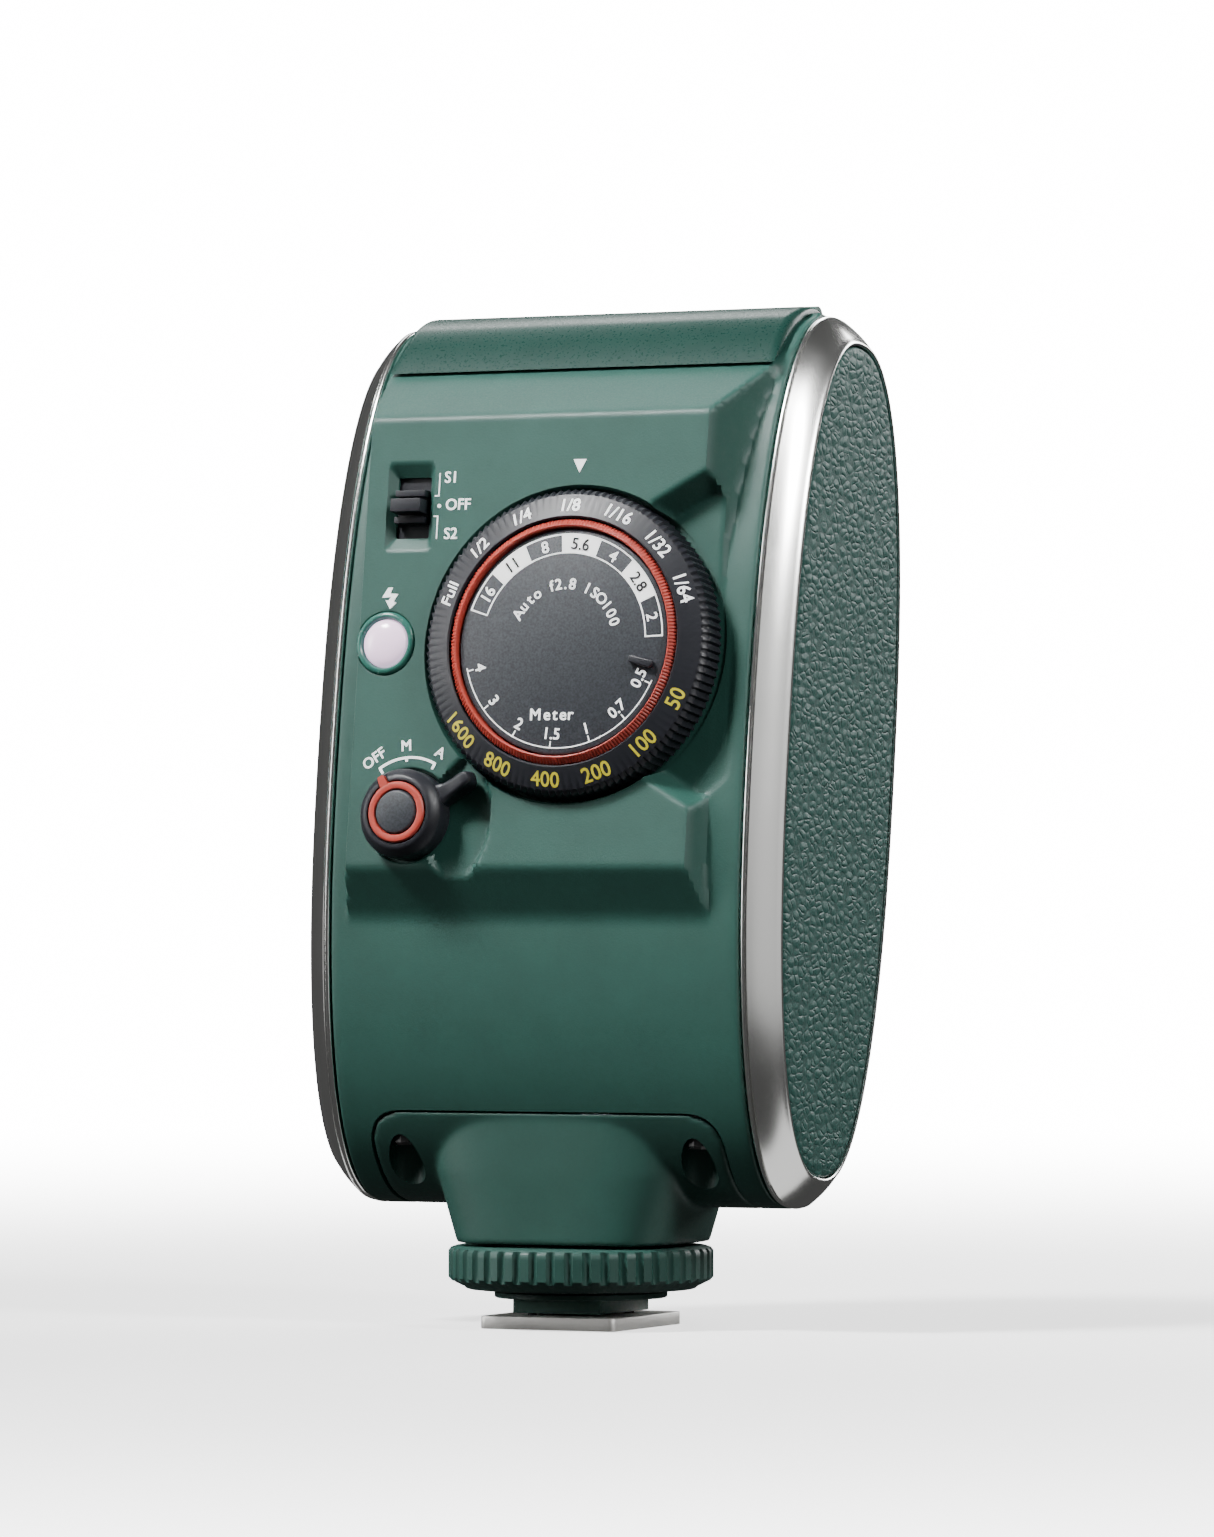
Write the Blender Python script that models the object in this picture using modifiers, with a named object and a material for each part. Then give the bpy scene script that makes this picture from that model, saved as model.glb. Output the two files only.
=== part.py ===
"""A shoe-mount camera flash with a folding fan reflector, modelled as its separate pieces.

Frame: metres, +Z up. The origin is the centre of the shoe foot's underside. The controls face -Y,
and the flash fires towards +Y. The housing leans forward by LEAN, so its pieces are modelled in the
axes of an empty: x across, y from the controls to the front, z along the housing's long axis.
"""

import math

import bmesh
import bpy
from mathutils import Matrix, Vector

MM = 0.001

# Housing: an oval seen from the side, extruded across the width
LEAN = math.radians(7.7)
HOUSING_CENTRE = (0.0, 7.74, 71.2)
HALF_DEPTH = 20.4
HALF_HEIGHT = 56.4
OVAL_POWER = 2.4
HALF_WIDTH = 28.0
WALL = 1.8
SPLIT = 0.15
GAP = 0.3

# Control panel: a plateau with four sloping sides, as (left, right, low, high) at two levels
PANEL = -23.1
PANEL_EDGES = (-24.7, 22.2, -16.7, 40.5)
PANEL_BASE = -12.0
PANEL_BASE_EDGES = (-27.6, 27.6, -34.7, 49.7)

# Controls: x and z of each centre in the housing's axes
DIAL = (4.9, 11.2)
DIAL_RADIUS = 19.4
DIAL_POCKET_DEPTH = 3.2
MODE = (-16.2, -10.2)
MODE_RADIUS = 5.65
LEVER_ANGLE = math.radians(26.4)
LEVER_REACH = 10.6
LEVER_ROOM = 11.3
MODE_MARK_ANGLE = math.radians(119)
SLIDER = (-18.5, 29.1)
BUTTON = (-20.8, 11.7)
BUTTON_RADIUS = 2.85

# Side trim
BEZEL_IN = 28.3
BEZEL_OUT = 32.5
BEZEL_INSET = 3.4
LEATHER_INSET = 4.1
LEATHER_FLOOR = 30.2

# Lid over the top seam: its outer line in y and z, and the span of the oval that it follows inside
LID_HALF_WIDTH = 26.7
LID_ROUND = 1.2
LID_HEART = (-8.0, 50.0)
LID_OUTSIDE = [
    (-14.3, 48.2), (-14.4, 48.5), (-14.2, 49.1), (-13.2, 50.9), (-12.0, 52.5), (-10.7, 53.8),
    (-9.3, 54.9), (-7.7, 55.9), (-6.1, 56.7), (-4.6, 57.2), (-3.2, 57.45), (-1.6, 57.4), (-0.8, 57.0),
]
LID_SPAN = (91.2, 119.6)
LID_FOOT = (-12.25, 49.9)

# Flash head: the hinge axis lies on top of the housing
HINGE = (1.6, 57.0)
KNUCKLE_RADIUS = 1.5
HINGE_PIN_RADIUS = 0.7
HEAD_HALF_WIDTH = 25.9
HEAD_HALF_HEIGHT = 55.9
HEAD_WALL = 1.8
BAY_FLOOR = 2.15
BAY_HALF_WIDTH = 26.3
BAY_LOW = -42.5
HEAD_ANGLES = (86.5, -45.2)
SENSOR_HEIGHT = -46.3
CHASSIS_SCREWS = [(23, -36), (-23, -36)]

# Fan reflector
LEAF_COUNT = 12
LEAF_PITCH = 0.55
LEAF_THICKNESS = 0.25
LEAF_WIDTH = math.radians(34)
FAN_HUB = 4.5
FAN_RADIUS = 46.0
FAN_DEPTH = 5.0
FIRST_LEAF = 18.2
HUB_RADIUS = 4.0

# Shoe foot, in world axes
PLATE = (18.6, 20.5, 1.6)
BLOCK = (12.3, 14.5)
NECK = ((10.6, 14.5, 12.3), (19.5, 17.4, 12.5), (27.0, 18.6, 12.5))
STEM_RADIUS = 10.0
STEM_LOW = 4.9
RING_RADIUS = 16.7
RING_FLUTES = 46
PEDESTAL_HALF_WIDTH = 24.3
PEDESTAL_SCREWS = (20.2, -8.5)
PLATE_START = 232.1
PLATE_STOP = 292.0
FOOT_SCREWS = [(4.2, 5.4), (-4.2, -5.4)]

GREEN = (0.055, 0.16, 0.125)
BLACK = (0.02, 0.02, 0.025)
GREY = (0.06, 0.065, 0.075)
RED = (0.45, 0.05, 0.035)
STEEL = (0.55, 0.54, 0.5)
MIRROR = (0.8, 0.8, 0.78)
BOARD = (0.03, 0.16, 0.06)


def clear_scene():
    for old in list(bpy.data.objects):
        bpy.data.objects.remove(old)


def collection(name):
    made = bpy.data.collections.new(name)
    bpy.context.scene.collection.children.link(made)
    return made


def material(name, colour, roughness, metallic=0.0):
    made = bpy.data.materials.get(name)
    if made is None:
        made = bpy.data.materials.new(name)
        made.use_nodes = True
        shader = made.node_tree.nodes["Principled BSDF"]
        shader.inputs["Base Color"].default_value = (*colour, 1.0)
        shader.inputs["Roughness"].default_value = roughness
        shader.inputs["Metallic"].default_value = metallic
    return made


clear_scene()
PARTS = collection("camera_flash")
CUTTERS = collection("cutters")
FRAME = bpy.data.objects.new("housing_axes", None)
FRAME.location = Vector(HOUSING_CENTRE) * MM
FRAME.rotation_euler = (-LEAN, 0.0, 0.0)
PARTS.objects.link(FRAME)
bpy.context.view_layer.update()

MATERIALS = {
    "green": material("green_plastic", GREEN, 0.5),
    "black": material("black_plastic", BLACK, 0.45),
    "grey": material("grey_plastic", GREY, 0.6),
    "red": material("red_plastic", RED, 0.5),
    "chrome": material("satin_chrome", STEEL, 0.25, 1.0),
    "steel": material("steel", STEEL, 0.4, 1.0),
    "leaf": material("leaf_aluminium", MIRROR, 0.2, 1.0),
    "leather": material("green_leather", GREEN, 0.7),
    "glass": material("clear_cover", (0.85, 0.87, 0.9), 0.08),
    "button": material("button_lens", (0.8, 0.62, 0.72), 0.25),
    "board": material("circuit_board", BOARD, 0.5),
    "copper": material("copper_coil", (0.5, 0.22, 0.1), 0.4, 1.0),
    "cell": material("battery_wrap", (0.05, 0.12, 0.35), 0.45),
}


# ---------------------------------------------------------------- shapes

def add(name, mesh, finish=None, frame=FRAME, at=(0, 0, 0), turn=(0, 0, 0)):
    """An object that stands in the frame's axes. One without a finish is a cutter."""
    made = bpy.data.objects.new(name, mesh)
    made.parent = frame
    made.location = Vector(at) * MM
    made.rotation_euler = turn
    if finish is None:
        CUTTERS.objects.link(made)
        made.hide_render = True
        made.display_type = "WIRE"
    else:
        PARTS.objects.link(made)
        made.data.materials.append(MATERIALS[finish])
    bpy.context.view_layer.update()
    return made


def mesh_of(name, build):
    shape = bmesh.new()
    build(shape)
    bmesh.ops.recalc_face_normals(shape, faces=shape.faces)
    mesh = bpy.data.meshes.new(name)
    shape.to_mesh(mesh)
    shape.free()
    return mesh


def smooth(piece, degrees=35):
    piece.data.shade_smooth()
    piece.data.set_sharp_from_angle(angle=math.radians(degrees))
    return piece


def box(name, low, high, finish=None, **place):
    """A block between two corners."""
    middle = [(a + b) / 2 for a, b in zip(low, high)]
    size = [(b - a) * MM for a, b in zip(low, high)]

    def build(shape):
        matrix = Matrix.Translation(Vector(middle) * MM) @ Matrix.Diagonal((*size, 1))
        bmesh.ops.create_cube(shape, size=1, matrix=matrix)

    return add(name, mesh_of(name, build), finish, **place)


def cylinder(name, radius, low, high, finish=None, axis="Z", centre=(0, 0), sides=24, **place):
    """A cylinder along an axis; centre holds the two other coordinates."""
    length = (high - low) * MM
    quarter = math.pi / 2
    tilts = {"Z": Matrix(), "Y": Matrix.Rotation(-quarter, 4, "X"), "X": Matrix.Rotation(quarter, 4, "Y")}
    middle = (low + high) / 2
    spots = {"Z": (*centre, middle), "Y": (centre[0], middle, centre[1]), "X": (middle, *centre)}

    def build(shape):
        bmesh.ops.create_cone(
            shape,
            cap_ends=True,
            segments=sides,
            radius1=radius * MM,
            radius2=radius * MM,
            depth=length,
            matrix=Matrix.Translation(Vector(spots[axis]) * MM) @ tilts[axis],
        )

    return add(name, mesh_of(name, build), finish, **place)


def slab(name, outline, low, high, finish=None, **place):
    """A flat outline in y and z, extruded across x from low to high."""
    curve = bpy.data.curves.new(name, "CURVE")
    curve.dimensions = "2D"
    curve.fill_mode = "BOTH"
    curve.extrude = (high - low) / 2 * MM
    line = curve.splines.new("POLY")
    line.points.add(len(outline) - 1)
    for point, (y, z) in zip(line.points, outline):
        point.co = (y * MM, z * MM, 0, 1)
    line.use_cyclic_u = True
    helper = bpy.data.objects.new(name, curve)
    bpy.context.scene.collection.objects.link(helper)
    mesh = bpy.data.meshes.new_from_object(
        helper.evaluated_get(bpy.context.evaluated_depsgraph_get())
    )
    bpy.data.objects.remove(helper)
    upright = Matrix(((0, 0, 1, (low + high) / 2 * MM), (1, 0, 0, 0), (0, 1, 0, 0), (0, 0, 0, 1)))
    mesh.transform(upright)
    shape = bmesh.new()
    shape.from_mesh(mesh)
    bmesh.ops.remove_doubles(shape, verts=shape.verts, dist=1e-6)
    bmesh.ops.recalc_face_normals(shape, faces=shape.faces)
    shape.to_mesh(mesh)
    shape.free()
    return add(name, mesh, finish, **place)


def turned(name, profile, finish=None, steps=44, closed=True, **place):
    """A profile of (radius, height) points, listed down its outer side, turned about the local Z."""
    mesh = bpy.data.meshes.new(name)
    points = [(r * MM, 0, z * MM) for r, z in profile]
    edges = [(i, i + 1) for i in range(len(points) - 1)]
    if closed:
        edges.append((len(points) - 1, 0))
    mesh.from_pydata(points, edges, [])
    made = add(name, mesh, finish, **place)
    screw = made.modifiers.new("turn", "SCREW")
    screw.steps = screw.render_steps = steps
    screw.use_merge_vertices = True
    screw.merge_threshold = 1e-6
    return made


def loft(name, rings, finish=None, **place):
    """A closed skin over rings of points, with a cap at each end."""

    def build(shape):
        rows = [[shape.verts.new(Vector(p) * MM) for p in ring] for ring in rings]
        count = len(rows[0])
        for lower, upper in zip(rows, rows[1:]):
            for i in range(count):
                j = (i + 1) % count
                shape.faces.new((lower[i], lower[j], upper[j], upper[i]))
        shape.faces.new(rows[0])
        shape.faces.new(rows[-1])

    return add(name, mesh_of(name, build), finish, **place)


def join(piece, other):
    """Adds a helper's shape to a piece."""
    step = piece.modifiers.new("join_" + other.name, "BOOLEAN")
    step.operation = "UNION"
    step.object = other
    return piece


def cut(piece, *cutters):
    """Takes helpers' shapes away from a piece."""
    for cutter in cutters:
        step = piece.modifiers.new("cut_" + cutter.name, "BOOLEAN")
        step.operation = "DIFFERENCE"
        step.object = cutter
    return piece


def keep(piece, other):
    """Keeps what a piece shares with a helper."""
    step = piece.modifiers.new("keep_" + other.name, "BOOLEAN")
    step.operation = "INTERSECT"
    step.object = other
    return piece


def oval(half_depth, half_height, start=0.0, stop=360.0, count=48):
    """Points of the side oval in y and z, from one angle to another; 0 is the front and 90 the top."""
    full = abs(stop - start) >= 360
    spots = count if full else count + 1
    points = []
    for i in range(spots):
        angle = math.radians(start + (stop - start) * i / count)
        c, s = math.cos(angle), math.sin(angle)
        y = math.copysign(abs(c) ** (2 / OVAL_POWER), c) * half_depth
        z = math.copysign(abs(s) ** (2 / OVAL_POWER), s) * half_height
        points.append((y, z))
    return points


def inset_oval(inset, **span):
    return oval(HALF_DEPTH - inset, HALF_HEIGHT - inset, **span)


def oval_y(z, inset=0.0):
    """Half the oval's depth at a height."""
    share = abs(z) / (HALF_HEIGHT - inset)
    return (HALF_DEPTH - inset) * (1 - share**OVAL_POWER) ** (1 / OVAL_POWER)


def facing_out(spot, level):
    """Place of a control whose own Z points out of the panel."""
    return {"at": (spot[0], level, spot[1]), "turn": (math.pi / 2, 0, 0)}


# ---------------------------------------------------------------- housing

def plateau():
    rows = []
    for y, (left, right, low, high) in ((PANEL, PANEL_EDGES), (PANEL_BASE, PANEL_BASE_EDGES)):
        rows.append([(left, y, low), (right, y, low), (right, y, high), (left, y, high)])
    return loft("panel_plateau", rows)


def rear_casing():
    rear_half = [p for p in inset_oval(0, start=90, stop=270) if p[0] < -SPLIT]
    rear_half = [(-SPLIT, HALF_HEIGHT)] + rear_half + [(-SPLIT, -HALF_HEIGHT)]
    casing = slab("rear_casing", rear_half, -HALF_WIDTH, HALF_WIDTH, "green")
    join(casing, plateau())
    hollow = [p for p in inset_oval(WALL, start=90, stop=270)]
    hollow = [(2, HALF_HEIGHT - WALL)] + hollow + [(2, WALL - HALF_HEIGHT)]
    cut(casing, slab("casing_hollow", hollow, WALL - HALF_WIDTH, HALF_WIDTH - WALL))
    # Cores behind the slider, the button and the panel's top edge
    core = PANEL + 2.1
    cut(
        casing,
        box("slider_core", (-22.8, core, 22.2), (-14.2, -16, 35.8)),
        box("button_core", (-24.0, core, 7.8), (-17.6, -16, 15.6)),
        box("panel_core", (-10.0, core, 33.6), (21.0, -15, 38.0)),
    )
    # Dial pocket, with a finger scallop open to the right
    floor = PANEL + DIAL_POCKET_DEPTH
    pocket = cylinder("dial_pocket", DIAL_RADIUS + 0.5, PANEL - 2, floor, axis="Y", centre=DIAL, sides=48)
    cut(casing, pocket)
    rows = []
    for y, grow in ((floor - 0.3, 0.0), (PANEL - 2, 2.6)):
        rows.append([
            (14.0, y, 25.0 + grow), (22.5, y, 30.8 + grow), (30.0, y, 27.0 + grow),
            (30.0, y, -4.0 - grow), (22.9, y, -7.6 - grow), (14.0, y, -2.0 - grow),
        ])
    cut(casing, loft("finger_scallop", rows))
    cut(casing, cylinder("dial_hole", 3.8, -30, -10, axis="Y", centre=DIAL))
    # Sector recess that the mode lever's tip swings in
    sweep = [math.radians(a) for a in range(-52, 45, 8)]
    sector = [(0, 0)] + [(LEVER_ROOM * math.cos(a), LEVER_ROOM * math.sin(a)) for a in sweep]
    rows = [[(MODE[0] + x, y, MODE[1] + z) for x, z in sector] for y in (PANEL + 0.8, PANEL - 2)]
    cut(casing, loft("lever_recess", rows))
    well = cylinder("mode_well", MODE_RADIUS + 0.35, PANEL - 2, PANEL + 0.8, axis="Y", centre=MODE)
    cut(casing, well, cylinder("mode_hole", 1.8, -30, -10, axis="Y", centre=MODE))
    x, z = SLIDER
    cut(
        casing,
        box("slider_recess", (x - 3.2, PANEL - 2, z - 5.6), (x + 3.2, PANEL + 1.5, z + 5.6)),
        box("slider_slot", (x - 2.2, PANEL - 2, z - 3.8), (x + 2.2, PANEL + 4, z + 3.8)),
        cylinder("button_hole", BUTTON_RADIUS + 0.3, -30, -19, axis="Y", centre=BUTTON, sides=24),
        cylinder("button_rim", 3.8, -30, PANEL + 0.5, axis="Y", centre=BUTTON, sides=24),
    )
    # Bosses for the four screws that hold the chassis
    for n, (sx, sz) in enumerate(CHASSIS_SCREWS):
        back = -oval_y(sz, WALL) - 0.9
        join(casing, cylinder(f"boss_{n}", 2.5, back, -0.45, axis="Y", centre=(sx, sz), sides=24))
    for n, (sx, sz) in enumerate(CHASSIS_SCREWS):
        cut(casing, cylinder(f"boss_bore_{n}", 1.1, -9, 2, axis="Y", centre=(sx, sz), sides=16))
    # Posts that the pedestal's screws run into
    x, y = PEDESTAL_SCREWS
    for side in (-1, 1):
        join(casing, cylinder(f"post_{side}", 2.6, 28.3, 34, centre=(side * x, y), sides=24, frame=None))
        low, high = sorted((side * x, side * (HALF_WIDTH - 0.8)))
        join(casing, box(f"post_rib_{side}", (low, y - 1.4, 28.8), (high, y + 1.4, 33.5), frame=None))
        cut(casing, cylinder(f"post_bore_{side}", 1.15, 20, 40, centre=(side * x, y), sides=16, frame=None))
    cut(casing, pedestal_room())
    return casing


def pedestal_room():
    """The space that the pedestal's plate takes out of the housing's underside."""
    reach = PEDESTAL_HALF_WIDTH + GAP
    made = bpy.data.objects.get("pedestal_room")
    if made is None:
        outline = inset_oval(2.5, start=PLATE_START - 1, stop=PLATE_STOP + 1, count=24)
        outline += inset_oval(-4, start=PLATE_STOP + 1, stop=PLATE_START - 1, count=24)
        made = slab("pedestal_room", outline, -reach, reach)
    return made


def front_chassis():
    front_half = [p for p in inset_oval(0, start=-90, stop=90) if p[0] > SPLIT]
    front_half = [(SPLIT, -HALF_HEIGHT)] + front_half + [(SPLIT, HALF_HEIGHT)]
    chassis = slab("front_chassis", front_half, -HALF_WIDTH, HALF_WIDTH, "green")
    cut(chassis, box("fan_bay", (-BAY_HALF_WIDTH, BAY_FLOOR, BAY_LOW), (BAY_HALF_WIDTH, 40, 70)))
    cut(chassis, box("plate_top", (-BAY_HALF_WIDTH, -1, 55.2), (BAY_HALF_WIDTH, 40, 70)))
    cut(chassis, box("plate_step", (-BAY_HALF_WIDTH, 1.4, 53.6), (BAY_HALF_WIDTH, 40, 70)))
    cut(chassis, box("chin_hollow", (-22, -1, -50.5), (22, 4.5, -44.5)))
    for side in (-1, 1):
        low, high = sorted((side * 17, side * 21))
        join(chassis, box(f"knuckle_root_{side}", (low, 0.5, 53), (high, 1.9, HINGE[1])))
        knuckle = cylinder(f"knuckle_{side}", KNUCKLE_RADIUS, low, high, axis="X", centre=HINGE, sides=24)
        join(chassis, knuckle)
    cut(chassis, cylinder("hinge_bore", HINGE_PIN_RADIUS + 0.3, -27, 27, axis="X", centre=HINGE, sides=24))
    for n, (sx, sz) in enumerate(CHASSIS_SCREWS):
        cut(chassis, cylinder(f"screw_way_{n}", 1.1, -2, 4, axis="Y", centre=(sx, sz), sides=16))
    cut(
        chassis,
        cylinder("sensor_way", 2.3, 3, 30, axis="Y", centre=(0, SENSOR_HEIGHT), sides=24),
        box("usb_way", (-16.7, 3, -48.2), (-7.3, 30, -44.6)),
        cylinder("sync_way", 2.3, 3, 30, axis="Y", centre=(12, SENSOR_HEIGHT), sides=24),
        pedestal_room(),
    )
    return chassis


def top_cap():
    """Lid that bows out over the top seam. Its outer line draws in at both ends."""
    inside = inset_oval(-GAP, start=LID_SPAN[0], stop=LID_SPAN[1], count=16) + [LID_FOOT]
    heart = Vector(LID_HEART)
    last = len(LID_OUTSIDE) - 1
    slope = 0.3 * LID_ROUND
    ends = [(LID_HALF_WIDTH - LID_ROUND, 0.0), (LID_HALF_WIDTH - slope, slope), (LID_HALF_WIDTH, LID_ROUND)]
    rings = []
    for x, inset in [(-x, inset) for x, inset in reversed(ends)] + ends:
        ring = []
        for i, point in enumerate(LID_OUTSIDE):
            inward = (heart - Vector(point)).normalized() * inset * math.sin(math.pi * i / last)
            ring.append((x, *(Vector(point) + inward)))
        rings.append(ring + [(x, y, z) for y, z in inside])
    return loft("top_cap", rings, "green")


def pedestal():
    """Plate that closes the housing's underside, with the neck that carries the foot."""
    outline = inset_oval(0, start=PLATE_START, stop=PLATE_STOP, count=24)
    outline += inset_oval(4, start=PLATE_STOP, stop=PLATE_START, count=24)
    plate = slab("pedestal", outline, -PEDESTAL_HALF_WIDTH, PEDESTAL_HALF_WIDTH, "green")
    rings = []
    for z, across, deep in NECK:
        ring = []
        for i in range(36):
            c, s = math.cos(math.tau * i / 36), math.sin(math.tau * i / 36)
            x, y = math.copysign(abs(c) ** 0.55, c), math.copysign(abs(s) ** 0.55, s)
            ring.append((across * x, 0.8 + deep * y, z))
        rings.append(ring)
    join(plate, loft("neck", rings, frame=None))
    around = inset_oval(-GAP, start=PLATE_STOP + 0.7, stop=PLATE_START + 359.3, count=40)
    around += inset_oval(2.2, start=PLATE_START - 0.7, stop=PLATE_STOP + 0.7, count=24)
    cut(plate, slab("pedestal_hollow", around, -40, 40))
    for side in (-1, 1):
        spot = (side * PEDESTAL_SCREWS[0], PEDESTAL_SCREWS[1])
        boss = cylinder(f"pedestal_boss_{side}", 3.0, 15, 26, centre=spot, sides=24, frame=None)
        inside = slab(f"boss_limit_{side}", inset_oval(0.4), -40, 40)
        keep(boss, inside)
        join(plate, boss)
    for side in (-1, 1):
        spot = (side * PEDESTAL_SCREWS[0], PEDESTAL_SCREWS[1])
        cut(plate, cylinder(f"counterbore_{side}", 2.1, 5, 24.4, centre=spot, sides=24, frame=None))
        cut(plate, cylinder(f"pedestal_bore_{side}", 1.2, 20, 40, centre=spot, sides=16, frame=None))
    return plate


def side_trim(side, name):
    """Bezel tray of one side, with the leather panel bonded into it."""
    levels = ((BEZEL_IN, 0.0), (BEZEL_IN + 0.5, 0.0), (BEZEL_OUT, BEZEL_INSET))
    rings = [[(side * x, y, z) for y, z in inset_oval(i, count=48)] for x, i in levels]
    bezel = loft(f"bezel_{name}", rings, "chrome")
    near, far = sorted((side * LEATHER_FLOOR, side * 40))
    cut(bezel, slab(f"bezel_recess_{name}", inset_oval(LEATHER_INSET - GAP, count=48), near, far))
    near, far = sorted((side * (LEATHER_FLOOR + GAP), side * (BEZEL_OUT - 0.4)))
    slab(f"leather_{name}", inset_oval(LEATHER_INSET, count=48), near, far, "leather")


# ---------------------------------------------------------------- controls

def power_dial():
    """Selector ring in its pocket, with a hollow hub down to the encoder."""
    profile = [
        (15.3, 2.7), (18.8, 1.7), (DIAL_RADIUS, 1.2), (DIAL_RADIUS, -2.8), (3.4, -2.8),
        (3.4, -9.2), (2.0, -9.2), (2.0, -1.0), (15.3, -1.0),
    ]
    return smooth(turned("power_dial", profile, "black", **facing_out(DIAL, PANEL)))


def calculator():
    """Exposure table: a disc on a spindle through the dial's hub, and the ring that grips it."""
    disc = [(0, 2.2), (13.4, 2.2), (13.7, 1.9), (13.7, -0.6), (1.7, -0.6), (1.7, -9.6), (0, -9.6)]
    smooth(turned("calculator_disc", disc, "grey", closed=False, **facing_out(DIAL, PANEL)))
    ring = [(14.0, 2.7), (14.7, 2.7), (15.0, 2.3), (15.0, -0.6), (14.0, -0.6)]
    smooth(turned("calculator_ring", ring, "red", **facing_out(DIAL, PANEL)))


def mode_control():
    """Lever knob with its shaft, red pointer ring and centre cap."""
    place = facing_out(MODE, PANEL)
    knob = [
        (0, 2.6), (4.0, 2.6), (4.0, 3.4), (4.6, 3.4), (MODE_RADIUS, 2.2), (MODE_RADIUS, -0.4),
        (1.5, -0.4), (1.5, -9.2), (0, -9.2),
    ]
    lever = turned("mode_lever", knob, "black", steps=28, closed=False, **place)
    arm_turn = (math.pi / 2, -LEVER_ANGLE, 0)
    arm = box("lever_arm", (2.6, -1.2, -0.4), (LEVER_REACH, 1.2, 2.2), at=place["at"], turn=arm_turn)
    join(lever, arm)
    mark_turn = (math.pi / 2, -MODE_MARK_ANGLE, 0)
    cut(lever, box("pointer_notch", (3.0, -0.95, 2.6), (6.2, 0.95, 5), at=place["at"], turn=mark_turn))
    ring = [(3.0, 3.6), (3.7, 3.6), (3.7, 2.9), (3.0, 2.9)]
    index = turned("mode_index_ring", ring, "red", steps=28, **place)
    pointer = box("index_pointer", (3.3, -0.65, 2.9), (5.2, 0.65, 3.5), at=place["at"], turn=mark_turn)
    join(index, pointer)
    cap = [(0, 3.9), (2.3, 3.9), (2.7, 3.5), (2.7, 2.9), (0, 2.9)]
    smooth(turned("mode_cap", cap, "grey", steps=28, closed=False, **place))


def slider():
    """Thumb slider with three ribs, on a stem through its slot."""
    x, z = SLIDER
    knob = box("slide_knob", (x - 1.9, PANEL, z - 2.1), (x + 1.9, PANEL + 2.2, z + 2.1), "black")
    for n, (rise, half, reach) in enumerate(((-1.7, 0.38, 0.9), (0, 0.8, 1.9), (1.7, 0.38, 0.9))):
        low = (x - 1.9, PANEL - reach, z + rise - half)
        join(knob, box(f"slider_rib_{n}", low, (x + 1.9, PANEL + 0.5, z + rise + half)))
    return knob


def test_button():
    profile = [(0, 0.9), (1.6, 0.75), (2.5, 0.3), (BUTTON_RADIUS, -0.2), (BUTTON_RADIUS, -2.0), (0, -2.0)]
    button = turned("test_button", profile, "button", steps=40, closed=False, **facing_out(BUTTON, PANEL))
    return smooth(button)


# ---------------------------------------------------------------- inside

def electronics():
    x, z = DIAL
    encoder = box("dial_encoder", (x - 7, -17.4, z - 7), (x + 7, -13.4, z + 7), "black")
    cut(encoder, cylinder("encoder_bore", 3.7, -20, -10, axis="Y", centre=DIAL, sides=24))
    x, z = MODE
    switch = box("mode_switch", (x - 5, -17.6, z - 5), (x + 5, -13.4, z + 5), "black")
    cut(switch, cylinder("mode_switch_bore", 1.8, -20, -10, axis="Y", centre=MODE, sides=24))
    x, z = SLIDER
    box("slide_switch", (x - 3.4, -20.5, z - 5.4), (x + 3.4, -16.9, z + 5.4), "steel")
    x, z = BUTTON
    box("test_switch", (x - 2.4, -20.0, z - 2.6), (x + 2.6, -16.6, z + 2.6), "black")
    board = box("control_board", (-24, -13.1, -21), (24, -11.9, 30.5), "board")
    cut(board, cylinder("board_hole", 3.0, -16, -8, axis="Y", centre=(18, -14), sides=24))
    box("power_board", (-21, -1.7, -14), (21, -0.5, 30), "board")
    box("inverter_transformer", (5, -11.5, -9), (18, -2.0, 5), "copper")
    cylinder("trigger_coil", 3.4, -19, -8, "copper", axis="X", centre=(-6.4, 2), sides=24)
    box("battery_pack", (-16.2, -10.8, -45.2), (16.2, -1.2, -23.4), "cell")
    cylinder("flash_capacitor", 6.4, -19.4, 19.4, "black", axis="X", centre=(-7.6, 38.2), sides=48)


def front_fittings():
    lens = [(0, 10.6), (1.5, 10.3), (2.0, 9.7), (2.0, 0), (0, 0)]
    turn = (-math.pi / 2, 0, 0)
    spot = (0, 3.2, SENSOR_HEIGHT)
    smooth(turned("sensor_window", lens, "glass", steps=40, closed=False, at=spot, turn=turn))
    port = box("usb_port", (-16.4, 4.9, -47.9), (-7.6, 12.6, -44.9), "steel")
    cut(port, box("usb_mouth", (-15.9, 6.5, -47.4), (-8.1, 30, -45.4)))
    socket = cylinder("sync_socket", 2.0, 4.9, 12.4, "steel", axis="Y", centre=(12, SENSOR_HEIGHT), sides=24)
    cut(socket, cylinder("sync_mouth", 1.25, 6.5, 30, axis="Y", centre=(12, SENSOR_HEIGHT), sides=24))


def screw(name, length, head=1.6, shank=0.8, rise=1.3, **place):
    """Screw standing on its local Z with its head on top."""
    profile = [(0, rise), (head * 0.8, rise), (head, rise * 0.7), (head, 0)]
    profile += [(shank, 0), (shank, -length), (0, -length)]
    return turned(name, profile, "steel", steps=12, closed=False, **place)


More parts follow.
